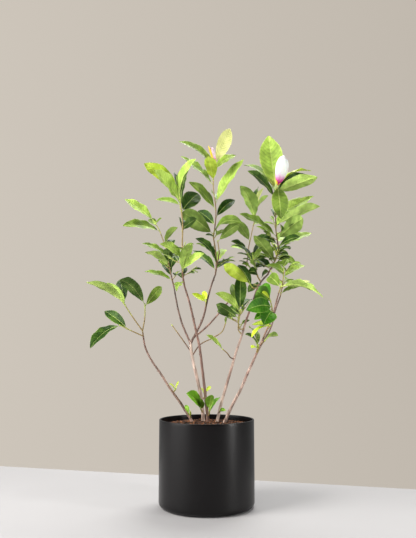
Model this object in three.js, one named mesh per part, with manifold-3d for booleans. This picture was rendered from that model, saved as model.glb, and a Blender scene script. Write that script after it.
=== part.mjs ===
// A young jane magnolia: five canes from one clump, in a plain round pot filled with soil.
// Millimetres, +Z up, +Y away from the viewer. The origin is the centre of the pot's flat underside.

import * as THREE from "three";
import { mergeVertices } from "three/addons/utils/BufferGeometryUtils.js";
import Module from "manifold-3d";

const wasm = await Module();
wasm.setup();

// Clearances
const GAP = 0.3; // between pieces that touch on the real plant
const LEAF_CLEAR = 1.2; // between a leaf and every other twig or leaf

// Pot and soil
const POT = { diameter: 284, height: 253, wall: 5, floor: 8, footRound: 17, rimRound: 1.6, sides: 48 };
const SOIL = { top: 240, shelfRadius: 92, fall: 5 };

// Limbs and twigs
const LIMB = { sides: 6, pitch: 30, flare: 0.4, flareHeight: 30 };
const TWIG = { sides: 4, pitch: 26, footRadius: 2.0, tipRadius: 1.3 };

// Leaves: shares are of the leaf's length or width
const LEAF = {
  slimness: 0.37,
  slimnessSpread: 0.04,
  petiole: 0.08,
  petioleRadius: [1.2, 0.9],
  thickness: 2.0,
  fold: 18,
  arch: 0.07,
  archSpread: 0.05,
  outline: [0.28, 0.6, 0.86],
};

// Blooms: sunk into the twig, then shares of the bloom's length and of its half width
const BLOOM = {
  sides: 9,
  sunk: 1,
  profile: [[0.03, 0.28], [0.16, 0.7], [0.36, 1], [0.6, 0.96], [0.82, 0.62], [0.95, 0.24]],
};

// How a leaf may turn aside to clear its neighbours: bearing, rise and turn, in degrees
const TURNS_ASIDE = [
  [0, 0, 0], [7, 0, 0], [-7, 0, 0], [0, 7, 0], [0, -7, 0], [0, 0, 16], [0, 0, -16],
  [14, 0, 0], [-14, 0, 0], [0, 14, 0], [0, -14, 0], [12, 12, 0], [-12, 12, 0], [12, -12, 0], [-12, -12, 0],
  [22, 0, 0], [-22, 0, 0], [0, 22, 0], [0, -22, 0], [22, 14, 16], [-22, 14, -16], [22, -14, -16],
  [-22, -14, 16],
];

// Canes stand on the soil, and boughs start on another limb at a percent of its length.
// Each limb is one taper, by radius, along its route.
const LIMBS = [
  {
    name: "left_cane", colour: "brown", foot: 4.4, tip: 2.4,
    route: [
      [-35, 42, 225], [-75, 30, 290], [-110, 15, 340], [-140, 0, 388], [-168, -15, 430],
      [-184, -25, 465], [-190, -32, 495],
    ],
  },
  {
    name: "pale_cane", colour: "pale", foot: 5.6, tip: 4.2,
    route: [
      [-9, 60, 225], [-17, 61, 310], [-31, 63, 375], [-42, 65, 420], [-49, 65, 460], [-50, 65, 487],
    ],
  },
  {
    name: "middle_cane", colour: "brown", foot: 4.8, tip: 2.6,
    route: [
      [6, 32, 225], [-4, 10, 320], [-13, -12, 400], [-21, -38, 465], [-34, -58, 525], [-50, -80, 595],
      [-66, -102, 648],
    ],
  },
  {
    name: "inner_right_cane", colour: "pale", foot: 4.8, tip: 2.5,
    route: [
      [28, 38, 225], [45, 48, 295], [60, 55, 345], [80, 64, 410], [92, 70, 450], [110, 78, 500],
      [125, 78, 550], [145, 71, 605], [158, 62, 645], [172, 53, 672], [195, 45, 697],
    ],
  },
  {
    name: "outer_right_cane", colour: "pale", foot: 5.0, tip: 3.3,
    route: [
      [47, 14, 225], [74, -18, 290], [99, -45, 340], [117, -72, 385], [134, -92, 425], [152, -110, 467],
    ],
  },
  {
    name: "back_left_bough", colour: "brown", on: ["pale_cane", 96], foot: 3.3, tip: 2.2,
    route: [[-70, 79, 520], [-81, 88, 548], [-94, 102, 595], [-107, 120, 660]],
  },
  {
    name: "centre_bough", colour: "pale", on: ["pale_cane", 98], foot: 3.6, tip: 2.4,
    route: [[-28, 66, 522], [-11, 62, 560], [2, 55, 615], [16, 50, 665], [28, 45, 697]],
  },
  {
    name: "back_right_bough", colour: "pale", on: ["centre_bough", 8], foot: 2.9, tip: 2.0,
    route: [
      [-20, 82, 514], [5, 100, 537], [30, 119, 565], [57, 137, 598], [90, 159, 640], [115, 172, 683],
      [131, 184, 730], [139, 190, 770],
    ],
  },
  {
    name: "outer_bough", colour: "pale", on: ["outer_right_cane", 98], foot: 2.9, tip: 2.0,
    route: [
      [162, -119, 492], [172, -130, 516], [182, -138, 540], [190, -145, 564], [198, -150, 595],
      [205, -152, 620],
    ],
  },
  {
    name: "parallel_bough", colour: "pale", on: ["outer_right_cane", 93], foot: 2.5, tip: 1.8,
    route: [
      [166, -98, 487], [184, -90, 516], [195, -84, 544], [200, -80, 567], [210, -75, 595],
      [219, -71, 618],
    ],
  },
];

// Masses of foliage, each one fused body: twigs that start on a limb, on another mass's first twig or on an
// earlier twig of their own, then leaves as [percent along the twig, bearing, rise, length, turn], with
// width or arch where the rule's own won't do.
const MASSES = [
  {
    name: "left_tuft",
    twigs: [
      {
        on: ["left_cane", 98],
        route: [[-192, -38, 515]],
      },
      {
        on: [0, 40],
        route: [[-224, -45, 515], [-255, -55, 530]],
        leaves: [
          [71, 145, 30, 110, 50, { width: 34 }], [100, 231, -30, 134, 16, { width: 44, arch: 0.11 }],
        ],
      },
      {
        on: [0, 100],
        route: [[-224, -45, 560], [-250, -50, 600]],
        leaves: [
          [88, 166, 49, 94, -80, { width: 26 }], [95, 114, 47, 110, 14, { width: 37 }],
          [100, 220, 22, 136, -16, { width: 44, arch: 0.08 }],
        ],
      },
      {
        on: [0, 100],
        route: [[-187, -26, 555], [-188, -15, 595]],
        leaves: [
          [93, 52, 41, 100, 74, { width: 32, arch: 0.08 }],
          [100, 236, 30, 134, -40, { width: 40, arch: 0.14 }],
        ],
      },
    ],
  },
  {
    name: "back_left_tuft",
    twigs: [
      {
        on: ["back_left_bough", 99],
        route: [[-116, 130, 697], [-125, 136, 738], [-134, 141, 788]],
        leaves: [
          [12, 320, -10, 42, 60], [21, 162, 18, 105, 30, { width: 32, arch: 0.06 }],
          [31, 114, 38, 100, 24, { width: 31 }], [46, 78, 45, 94, 10],
          [55, 227, 19, 116, -20, { width: 32 }], [65, 275, 20, 98, 8],
          [82, 161, 28, 106, 32, { width: 30 }], [92, 68, 58, 76, 12],
        ],
      },
    ],
  },
  {
    name: "back_left_top",
    twigs: [
      {
        on: ["back_left_tuft", 100],
        route: [[-146, 149, 822], [-159, 155, 856], [-169, 158, 874], [-179, 160, 890]],
        leaves: [
          [18, 42, 35, 86, -64], [62, 212, 2, 136, 50, { width: 46, arch: 0.08 }], [82, 125, 30, 62, 34],
          [90, 310, 20, 38, 60], [100, 165, 37, 134, 42, { width: 43 }],
        ],
      },
    ],
  },
  {
    name: "middle_low_tuft",
    twigs: [
      {
        on: ["middle_cane", 99],
        route: [[-70, -109, 678], [-71, -115, 722], [-71, -120, 775]],
        leaves: [
          [8, 242, -36, 50, -14, { arch: 0.2 }], [14, 112, 15, 80, 6], [23, 100, 32, 86, -46],
          [29, 289, 42, 112, 4, { width: 36 }], [36, 310, 20, 106, 74, { width: 32 }],
          [44, 65, 25, 84, 50], [55, 236, 19, 112, 82, { width: 31 }],
        ],
      },
    ],
  },
  {
    name: "middle_top_tuft",
    twigs: [
      {
        on: ["middle_low_tuft", 100],
        route: [
          [-70, -124, 812], [-72, -127, 846], [-76, -130, 876], [-79, -132, 902], [-82, -134, 930],
        ],
        leaves: [
          [16, 104, 49, 70, -30], [22, 71, 30, 86, -80], [54, 55, 40, 110, 48, { width: 52 }],
          [61, 75, 63, 126, -30, { width: 34 }], [67, 146, 17, 96, 34, { width: 31, arch: 0.04 }],
          [71, 242, 23, 156, 84, { width: 53, arch: 0.04 }],
          [78, 297, 40, 142, 84, { width: 43, arch: 0.12 }], [86, 121, 65, 84, -18],
          [92, 40, 54, 88, -50], [98, 225, 20, 140, -40, { width: 42, arch: 0.06 }],
        ],
      },
    ],
  },
  {
    name: "centre_low_tuft",
    twigs: [
      {
        on: ["centre_bough", 99],
        route: [[30, 44, 716], [29, 41, 756], [24, 39, 795], [21, 38, 815], [25, 36, 838]],
        leaves: [
          [9, 145, 38, 116, 28, { width: 34 }], [12, 49, 23, 76, 20],
          [21, 232, 34, 126, 74, { width: 37 }], [24, 65, 35, 96, 12, { width: 29 }],
          [88, 227, 19, 150, -72, { width: 57, arch: 0.1 }],
          [91, 309, 5, 136, 56, { width: 41, arch: 0.17 }],
        ],
      },
      {
        on: [0, 16],
        route: [[39, 34, 758], [35, 28, 797]],
        leaves: [[100, 301, 21, 112, -64, { width: 34, arch: 0.12 }]],
      },
    ],
  },
  {
    name: "centre_mid_tuft",
    twigs: [
      {
        on: ["centre_low_tuft", 100],
        route: [[29, 33, 878], [28, 30, 914], [24, 27, 944], [21, 26, 970]],
        leaves: [
          [10, 133, 36, 100, 52, { width: 36 }], [28, 39, 40, 106, 56, { width: 33, arch: 0.1 }],
          [46, 228, 28, 142, 82, { width: 41 }], [61, 13, 58, 180, 30, { width: 54 }],
          [68, 98, 32, 80, -38],
        ],
      },
    ],
  },
  {
    name: "centre_top_tuft",
    twigs: [
      {
        on: ["centre_mid_tuft", 100],
        route: [[21, 24, 1000], [25, 22, 1030], [28, 20, 1050]],
        leaves: [
          [12, 156, 43, 158, 22, { width: 44 }], [27, 263, 20, 130, 0, { width: 40 }],
          [72, 34, 36, 106, 40, { width: 32 }], [80, 171, 38, 150, 36, { width: 45, arch: 0.09 }],
          [98, 46, 62, 150, 64, { width: 46, arch: 0.02 }],
        ],
      },
    ],
    bloom: { twig: 0, at: 98, bearing: 215, rise: 72, length: 52, width: 20 },
  },
  {
    name: "back_right_tuft",
    twigs: [
      {
        on: ["back_right_bough", 99],
        route: [[142, 191, 802], [149, 194, 834]],
        leaves: [
          [14, 230, 22, 100, 66, { width: 29 }], [24, 310, -22, 76, 56], [38, 134, 15, 88, 36],
          [86, 237, 30, 106, -28, { width: 36 }],
        ],
      },
    ],
  },
  {
    name: "back_right_top",
    twigs: [
      {
        on: ["back_right_tuft", 100],
        route: [[156, 195, 866], [163, 195, 898], [169, 194, 930], [172, 190, 958]],
        leaves: [
          [38, 63, 16, 86, 30], [55, 230, 52, 130, 0, { width: 58 }], [84, 23, 47, 70, -44],
          [92, 300, 52, 70, 16], [100, 80, 50, 88, -48],
        ],
      },
    ],
  },
  {
    name: "inner_left_tuft",
    twigs: [
      {
        on: ["inner_right_cane", 62],
        route: [[105, 66, 524], [99, 56, 552], [104, 49, 580]],
        leaves: [
          [70, 228, 20, 112, -76, { width: 32 }], [94, 223, 27, 118, 76, { width: 34 }],
          [97, 112, 57, 110, 20, { width: 36 }], [100, 83, 61, 122, 14, { width: 41 }],
        ],
      },
    ],
  },
  {
    name: "inner_back_tuft",
    twigs: [
      {
        on: ["inner_right_cane", 58],
        route: [[101, 90, 522], [105, 100, 560], [114, 105, 596]],
        leaves: [[72, 115, 20, 86, 44], [90, 63, 24, 94, 4, { width: 26 }], [100, 80, 55, 46, -20]],
      },
    ],
  },
  {
    name: "side_leaf",
    twigs: [
      {
        on: ["inner_right_cane", 42],
        route: [[74, 54, 435], [64, 42, 448], [50, 30, 460]],
        leaves: [[100, 220, 33, 80, 58, { width: 24 }]],
      },
    ],
  },
  {
    name: "inner_fork_tuft",
    twigs: [
      {
        on: ["inner_right_cane", 89],
        route: [[147, 51, 652], [137, 40, 662]],
        leaves: [[72, 122, 46, 108, 34, { width: 33 }], [100, 224, 23, 130, -72, { width: 39 }]],
      },
    ],
  },
  {
    name: "inner_dark_pair",
    twigs: [
      {
        on: ["inner_right_cane", 91],
        route: [[158, 76, 664], [154, 88, 668]],
        leaves: [[78, 108, -15, 70, -40], [100, 72, -8, 60, -44]],
      },
    ],
  },
  {
    name: "thicket_left",
    twigs: [
      {
        on: ["inner_right_cane", 93],
        route: [[162, 66, 692], [155, 75, 722], [149, 80, 756]],
        leaves: [
          [32, 242, 0, 74, 70], [48, 246, 11, 86, 64], [56, 66, 10, 80, 30], [80, 107, 26, 80, -76],
          [87, 282, 11, 94, 84, { width: 27 }], [94, 61, 39, 94, 28, { width: 28 }],
          [100, 160, 30, 86, 12],
        ],
      },
    ],
  },
  {
    name: "thicket_right",
    twigs: [
      {
        on: ["inner_right_cane", 99],
        route: [[206, 39, 720], [218, 31, 745], [226, 25, 767]],
        leaves: [
          [15, 108, -12, 62, 70], [24, 131, 16, 86, 26], [34, 55, -15, 86, 70], [46, 291, -10, 84, 34],
          [58, 234, 21, 138, -12, { width: 41 }], [68, 43, -7, 106, 70, { width: 31 }],
          [76, 98, 38, 104, -40], [83, 298, -9, 60, 26], [91, 56, 15, 86, 16],
        ],
      },
    ],
  },
  {
    name: "crown_low_tuft",
    twigs: [
      {
        on: ["thicket_right", 100],
        route: [[222, 15, 794], [217, 8, 822], [215, 1, 850]],
        leaves: [
          [94, 25, 24, 184, -40, { width: 55, arch: 0.04 }], [42, 298, 17, 142, -66, { width: 53 }],
          [82, 27, 42, 148, 16, { width: 43 }], [12, 303, 10, 106, 66, { width: 30 }],
          [16, 27, 22, 140, 36, { width: 42 }], [25, 132, 16, 110, 48, { width: 31 }],
          [32, 75, 30, 80, 32], [51, 216, 20, 160, 60, { width: 38, arch: 0.05 }],
        ],
      },
    ],
  },
  {
    name: "crown_mid_tuft",
    twigs: [
      {
        on: ["crown_low_tuft", 100],
        route: [[214, -6, 880], [211, -12, 906], [212, -16, 934]],
        leaves: [
          [14, 95, 40, 76, 0, { width: 20 }], [28, 14, 28, 140, 44, { width: 41, arch: 0 }],
          [90, 229, 23, 150, 78, { width: 42, arch: 0.06 }],
        ],
      },
    ],
  },
  {
    name: "crown_top_tuft",
    twigs: [
      {
        on: ["crown_mid_tuft", 100],
        route: [[216, -19, 950], [221, -21, 966]],
        leaves: [
          [54, 105, 72, 206, 20, { width: 78, arch: -0.03 }],
          [90, 278, -72, 116, 8, { width: 53, arch: 0.06 }],
          [30, 318, 8, 154, -40, { width: 49, arch: 0.02 }],
          [44, 145, 41, 156, 20, { width: 45, arch: 0.12 }],
          [66, 18, 51, 138, 10, { width: 36, arch: 0.16 }], [50, 30, 31, 132, 70, { width: 40 }],
          [36, 16, 44, 110, 22, { width: 33 }], [20, 88, 34, 108, 10],
        ],
      },
    ],
    bloom: { twig: 0, at: 99, bearing: 318, rise: 72, length: 98, width: 42 },
  },
  {
    name: "right_tuft",
    twigs: [
      {
        on: ["outer_bough", 99],
        route: [[211, -155, 638]],
        leaves: [
          [82, 106, 24, 100, 48, { width: 38 }], [92, 34, 11, 116, 22, { width: 30, arch: 0 }],
          [100, 309, -15, 160, -32, { width: 45, arch: 0.1 }],
        ],
      },
    ],
  },
  {
    name: "right_back_tuft",
    twigs: [
      {
        on: ["parallel_bough", 99],
        route: [[224, -66, 642], [229, -61, 672], [231, -56, 704]],
        leaves: [
          [10, 302, 11, 76, 46], [64, 43, 23, 116, 24, { width: 31 }], [84, 119, 19, 86, 22],
          [100, 60, 40, 46, 28],
        ],
      },
    ],
  },
  {
    name: "fork_tuft",
    twigs: [
      {
        on: ["outer_right_cane", 94],
        route: [[147, -120, 466], [146, -128, 472]],
        leaves: [
          [58, 241, -1, 46, 18], [78, 239, 23, 86, 52, { width: 21 }],
          [92, 103, 32, 104, -30, { width: 30 }],
        ],
      },
    ],
  },
  {
    name: "fork_leaf",
    twigs: [
      {
        on: ["outer_bough", 6],
        route: [[161, -126, 480], [165, -133, 484]],
        leaves: [[100, 47, 13, 66, -38]],
      },
    ],
  },
  {
    name: "bright_tuft",
    twigs: [
      {
        on: ["outer_bough", 58],
        route: [[184, -160, 578], [177, -170, 602]],
        leaves: [
          [34, 243, -32, 76, 36, { width: 50 }], [56, 224, -7, 108, 76, { width: 45 }],
          [100, 232, 20, 42, 66, { width: 20 }], [84, 222, 25, 62, -62, { width: 50 }],
          [94, 95, 31, 94, 28, { width: 36 }], [46, 206, -28, 66, 60],
        ],
      },
    ],
  },
  {
    name: "yellow_pair",
    twigs: [
      {
        on: ["outer_bough", 36],
        route: [[180, -145, 526], [181, -152, 528]],
        leaves: [
          [80, 222, -24, 84, 0, { width: 22, arch: 0.12 }], [100, 217, 0, 70, -32, { arch: 0.04 }],
        ],
      },
    ],
  },
  {
    name: "yellow_spur",
    twigs: [
      {
        on: ["centre_bough", 52],
        route: [[-2, 48, 612]],
        leaves: [[80, 188, 30, 52, 50, { width: 24 }], [100, 120, 62, 36, 40, { width: 18 }]],
      },
    ],
  },
  {
    name: "bare_left_twig",
    twigs: [
      {
        on: ["pale_cane", 86],
        route: [[-80, 80, 495], [-110, 95, 535]],
      },
    ],
  },
  {
    name: "bare_right_twig",
    twigs: [
      {
        on: ["pale_cane", 82],
        route: [[-20, 48, 475], [18, 35, 495], [48, 25, 515], [58, 20, 540]],
        leaves: [[100, 275, 50, 24, 0, { width: 8 }]],
      },
    ],
  },
  {
    name: "left_cane_sprout",
    twigs: [
      {
        on: ["left_cane", 39],
        route: [[-95, 8, 340]],
        leaves: [[80, 235, 35, 36, 70], [100, 70, 40, 36, 20]],
      },
    ],
  },
  {
    name: "foot_left_sprout",
    twigs: [
      {
        on: ["pale_cane", 16],
        route: [[-14, 42, 270], [-18, 30, 279]],
        leaves: [[88, 267, 40, 60, 38], [100, 232, 36, 86, 86, { width: 46 }]],
      },
    ],
  },
  {
    name: "foot_middle_sprout",
    twigs: [
      {
        on: ["middle_cane", 8],
        route: [[8, 10, 266], [8, -2, 280]],
        leaves: [[66, 45, 42, 64, 0], [86, 47, 47, 46, 0], [100, 279, 53, 58, 10, { width: 28 }]],
      },
    ],
  },
  {
    name: "foot_yellow_sprout",
    twigs: [
      {
        on: ["pale_cane", 28],
        route: [[-8, 73, 312], [-4, 78, 325]],
        leaves: [[74, 236, 50, 32, 88], [100, 59, 29, 38, 38]],
      },
    ],
  },
  {
    name: "foot_right_sprout",
    twigs: [
      {
        on: ["inner_right_cane", 8],
        route: [[40, 32, 272]],
        leaves: [[100, 303, 9, 34, 76, { arch: 0.14 }]],
      },
    ],
  },
  {
    name: "soil_sprout",
    twigs: [
      {
        on: ["left_cane", 10],
        route: [[-49, 24, 258], [-54, 18, 266]],
        leaves: [[70, 270, 30, 38, 60], [100, 120, 24, 34, 26]],
      },
    ],
  },
];

const COLOURS = {
  pot: 0x1d1c1b,
  soil: 0x5a4030,
  brown: 0x7d5b4d,
  pale: 0xb39a8a,
  leaf: 0x5f8a3a,
};

// A number from 0 to 1 that is always the same for the same two whole numbers
function chance(seed, draw) {
  const x = Math.sin(seed * 12.9898 + draw * 78.233) * 43758.5453;
  return x - Math.floor(x);
}

// A rule's value for one leaf: the middle value, give or take the spread
function vary(middle, spread, seed, draw) {
  return middle + spread * (2 * chance(seed, draw) - 1);
}

function geometryFrom(points, triangles) {
  const geometry = new THREE.BufferGeometry();
  const numbers = points.flatMap((p) => [p.x, p.y, p.z]);
  geometry.setAttribute("position", new THREE.Float32BufferAttribute(numbers, 3));
  geometry.setIndex(triangles.flat());
  return geometry;
}

// The solid inside a closed geometry, with its shared corners joined and its flat triangles left out
function solidOf(geometry) {
  const bare = geometry.clone();
  bare.deleteAttribute("normal");
  bare.deleteAttribute("uv");
  const merged = mergeVertices(bare, 1e-4);
  const index = merged.index.array;
  const kept = [];
  for (let i = 0; i < index.length; i += 3) {
    const [a, b, c] = [index[i], index[i + 1], index[i + 2]];
    if (a !== b && b !== c && c !== a) kept.push(a, b, c);
  }
  return new wasm.Manifold(new wasm.Mesh({
    numProp: 3,
    vertProperties: new Float32Array(merged.attributes.position.array),
    triVerts: new Uint32Array(kept),
  }));
}

function meshOf(name, solid, colour, roughness) {
  const { vertProperties, triVerts } = solid.getMesh();
  const geometry = new THREE.BufferGeometry();
  geometry.setAttribute("position", new THREE.BufferAttribute(new Float32Array(vertProperties), 3));
  geometry.setIndex(new THREE.BufferAttribute(new Uint32Array(triVerts), 1));
  geometry.computeVertexNormals();
  const material = new THREE.MeshStandardMaterial({ color: colour, roughness, metalness: 0 });
  const mesh = new THREE.Mesh(geometry, material);
  mesh.name = name;
  return mesh;
}

// Of the bodies a fused shape falls into, the one that holds the most; scraps and sealed hollows go
function largestBody(solid) {
  return solid.decompose().reduce((best, body) => (body.volume() > best.volume() ? body : best));
}

// Points of a quarter circle about a centre, from one angle to another
function arc(centreR, centreZ, radius, from, to, steps) {
  const points = [];
  for (let i = 0; i <= steps; i += 1) {
    const a = THREE.MathUtils.degToRad(from + ((to - from) * i) / steps);
    points.push(new THREE.Vector2(centreR + radius * Math.cos(a), centreZ + radius * Math.sin(a)));
  }
  return points;
}

function turnedSolid(profile, sides) {
  return solidOf(new THREE.LatheGeometry(profile, sides).rotateX(Math.PI / 2));
}

function makePot() {
  const outer = POT.diameter / 2;
  const inner = outer - POT.wall;
  const round = POT.footRound;
  const rim = POT.rimRound;
  const innerRound = round - POT.wall;
  const profile = [
    new THREE.Vector2(0, 0),
    ...arc(outer - round, round, round, -90, 0, 5),
    ...arc(outer - rim, POT.height - rim, rim, 0, 90, 2),
    ...arc(inner + rim, POT.height - rim, rim, 90, 180, 2),
    ...arc(inner - innerRound, POT.floor + innerRound, innerRound, 0, -90, 2),
    new THREE.Vector2(0, POT.floor),
  ];
  return turnedSolid(profile, POT.sides);
}

function makeSoil() {
  const radius = POT.diameter / 2 - POT.wall - GAP;
  const bottom = POT.floor + GAP;
  const round = POT.footRound - POT.wall;
  const profile = [
    new THREE.Vector2(0, bottom),
    ...arc(radius - round, bottom + round, round, -90, 0, 2),
    new THREE.Vector2(radius, SOIL.top - SOIL.fall),
    new THREE.Vector2((radius + SOIL.shelfRadius) / 2, SOIL.top - SOIL.fall * 0.4),
    new THREE.Vector2(SOIL.shelfRadius, SOIL.top),
    new THREE.Vector2(0, SOIL.top),
  ];
  return turnedSolid(profile, POT.sides);
}

function smoothCurve(route) {
  return new THREE.CatmullRomCurve3(route.map((p) => new THREE.Vector3(...p)), false, "centripetal");
}

// A round tapering tube along a smooth route, closed at both ends; grow makes the sleeve that clears it
function makeTube(route, { sides, pitch, footRadius, tipRadius, flare = 0, flareHeight = 1, grow = 0 }) {
  const curve = smoothCurve(route);
  const length = curve.getLength();
  const steps = Math.max(2, Math.round(length / pitch));
  const frames = curve.computeFrenetFrames(steps, false);
  const points = [];
  const triangles = [];
  for (let i = 0; i <= steps; i += 1) {
    const share = i / steps;
    const centre = curve.getPointAt(share);
    if (i === 0) centre.addScaledVector(frames.tangents[0], -grow);
    if (i === steps) centre.addScaledVector(frames.tangents[steps], grow);
    const swell = 1 + flare * Math.max(0, 1 - (share * length) / flareHeight) ** 2;
    const radius = (footRadius + (tipRadius - footRadius) * share) * swell + grow;
    for (let j = 0; j < sides; j += 1) {
      const a = (j / sides) * Math.PI * 2;
      points.push(centre.clone()
        .addScaledVector(frames.normals[i], radius * Math.cos(a))
        .addScaledVector(frames.binormals[i], radius * Math.sin(a)));
      if (i === steps) continue;
      const here = i * sides + j;
      const beside = i * sides + ((j + 1) % sides);
      triangles.push([here, beside, here + sides], [beside, beside + sides, here + sides]);
    }
  }
  const last = steps * sides;
  for (let j = 1; j < sides - 1; j += 1) {
    triangles.push([0, j + 1, j], [last, last + j, last + j + 1]);
  }
  return solidOf(geometryFrom(points, triangles));
}

function pointAlong(route, percent) {
  return smoothCurve(route).getPointAt(Math.min(percent / 100, 1));
}

// The whole route of a limb, or of one twig of a mass, from the point that it starts on
function routeOf(name, twigIndex = 0) {
  const limb = LIMBS.find((one) => one.name === name);
  const { on, route } = limb ?? MASSES.find((one) => one.name === name).twigs[twigIndex];
  if (on === undefined) return route;
  const [carrier, percent] = on;
  const under = typeof carrier === "number" ? routeOf(name, carrier) : routeOf(carrier);
  return [pointAlong(under, percent).toArray(), ...route];
}

function limbTube(limb, grow) {
  const flare = limb.on === undefined ? LIMB.flare : 0;
  return makeTube(routeOf(limb.name), { ...LIMB, flare, footRadius: limb.foot, tipRadius: limb.tip, grow });
}

function twigTube(name, twigIndex, grow) {
  return makeTube(routeOf(name, twigIndex), { ...TWIG, grow });
}

// Directions of a shoot: along it, and square to it as near the sky as can be
function directions(bearing, rise) {
  const b = THREE.MathUtils.degToRad(bearing);
  const r = THREE.MathUtils.degToRad(rise);
  return {
    along: new THREE.Vector3(Math.cos(b) * Math.cos(r), Math.sin(b) * Math.cos(r), Math.sin(r)),
    up: new THREE.Vector3(-Math.cos(b) * Math.sin(r), -Math.sin(b) * Math.sin(r), Math.cos(r)),
  };
}

// One leaf's sizes: those in its row, and the rule's own for the rest
function leafSizes(row, seed) {
  const [percent, bearing, rise, length, turn, own = {}] = row;
  const slimness = vary(LEAF.slimness, LEAF.slimnessSpread, seed, 1);
  return {
    percent,
    bearing,
    rise,
    length,
    width: own.width ?? length * slimness,
    turn,
    arch: own.arch ?? vary(LEAF.arch, LEAF.archSpread, seed, 2),
  };
}

// A leaf's half width at a share of its blade: widest past the middle, with a drawn-out tip
function halfWidth(share) {
  return (share ** 0.8 * (1 - share) ** 0.75) / 0.3416 / 2;
}

// The midrib's place and the blade's directions at a share of the leaf's length
function ribFrame(foot, size, aside) {
  const { along, up } = directions(size.bearing + aside[0], size.rise + aside[1]);
  const turn = THREE.MathUtils.degToRad(size.turn + aside[2]);
  const toFront = Math.cos(THREE.MathUtils.degToRad(size.bearing)) >= 0 ? 1 : -1;
  const front = along.clone().cross(up).multiplyScalar(toFront);
  const face = up.clone().multiplyScalar(Math.cos(turn)).addScaledVector(front, Math.sin(turn));
  const bow = up.clone().add(face).normalize();
  return (share) => {
    const rise = size.arch * size.length * 4 * share * (1 - share);
    const slope = size.arch * 4 * (1 - 2 * share);
    const place = foot.clone().addScaledVector(along, size.length * share).addScaledVector(bow, rise);
    const tangent = along.clone().addScaledVector(bow, slope).normalize();
    const normal = face.clone().addScaledVector(tangent, -face.dot(tangent)).normalize();
    return { place, tangent, normal, across: tangent.clone().cross(normal) };
  };
}

// A leaf folded a little along its rib, thickest there and sharp at its edge, its petiole sunk into the
// twig. Without its first section it is only the blade, and without two only the blade's outer part.
function makeLeaf(size, frameAt, leftOut) {
  const fold = THREE.MathUtils.degToRad(LEAF.fold);
  const sections = LEAF.outline.map((share) => {
    const half = size.width * halfWidth(share);
    const at = LEAF.petiole + (1 - LEAF.petiole) * share;
    return { at, half: half * Math.cos(fold), lift: half * Math.sin(fold), depth: LEAF.thickness / 2 };
  });
  const [atTwig, atBlade] = LEAF.petioleRadius;
  sections.unshift(
    { at: 0, half: atTwig, lift: 0, depth: atTwig },
    { at: LEAF.petiole, half: atBlade, lift: 0, depth: atBlade },
  );
  const points = sections.slice(leftOut).flatMap(({ at, half, lift, depth }) => {
    const { place, normal, across } = frameAt(at);
    return [
      place.clone().addScaledVector(across, half).addScaledVector(normal, lift),
      place.clone().addScaledVector(normal, depth),
      place.clone().addScaledVector(across, -half).addScaledVector(normal, lift),
      place.clone().addScaledVector(normal, -depth),
    ];
  });
  points.push(frameAt(1).place);
  const tip = points.length - 1;
  const triangles = [[0, 1, 2], [0, 2, 3]];
  for (let j = 0; j < 4; j += 1) {
    const next = (j + 1) % 4;
    triangles.push([tip, tip - 4 + next, tip - 4 + j]);
    for (let here = 0; here < tip - 4; here += 4) {
      triangles.push([here + j, here + 4 + j, here + next], [here + next, here + 4 + j, here + 4 + next]);
    }
  }
  return solidOf(geometryFrom(points, triangles));
}

// A closed bud of petals, standing on its twig
function makeBloom(bloom, foot) {
  const { along } = directions(bloom.bearing, bloom.rise);
  const half = bloom.width / 2;
  const profile = [
    new THREE.Vector2(0, -BLOOM.sunk),
    ...BLOOM.profile.map(([height, out]) => new THREE.Vector2(out * half, height * bloom.length)),
    new THREE.Vector2(0, bloom.length),
  ];
  const geometry = new THREE.LatheGeometry(profile, BLOOM.sides);
  geometry.applyQuaternion(new THREE.Quaternion().setFromUnitVectors(new THREE.Vector3(0, 1, 0), along));
  return solidOf(geometry.translate(foot.x, foot.y, foot.z));
}

// True where a solid keeps the clearance to each of the others
function isClear(solid, others, clearance) {
  const box = solid.boundingBox();
  return others.every((other) => {
    const far = [0, 1, 2].some((k) => (
      other.box.min[k] > box.max[k] + clearance || other.box.max[k] < box.min[k] - clearance));
    return far || solid.minGap(other.solid, clearance) >= clearance;
  });
}

// A solid with its box, and with the part of it that leaves of its own mass keep clear of
function boxed(solid, mass, on, outer = solid) {
  return { solid, mass, on, box: solid.boundingBox(), outer: { solid: outer, box: outer.boundingBox() } };
}

// The canes and boughs, each cut clear of the soil and of the limbs before it
function growLimbs() {
  const ground = turnedSolid([
    new THREE.Vector2(0, 0),
    new THREE.Vector2(SOIL.shelfRadius, 0),
    new THREE.Vector2(SOIL.shelfRadius, SOIL.top + GAP),
    new THREE.Vector2(0, SOIL.top + GAP),
  ], POT.sides);
  const sleeves = [ground];
  const limbs = [];
  for (const limb of LIMBS) {
    const solid = sleeves.reduce((left, sleeve) => left.subtract(sleeve), limbTube(limb, 0));
    limbs.push({ name: limb.name, colour: limb.colour, solid: largestBody(solid) });
    sleeves.push(limbTube(limb, GAP));
  }
  return { limbs, sleeves };
}

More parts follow.
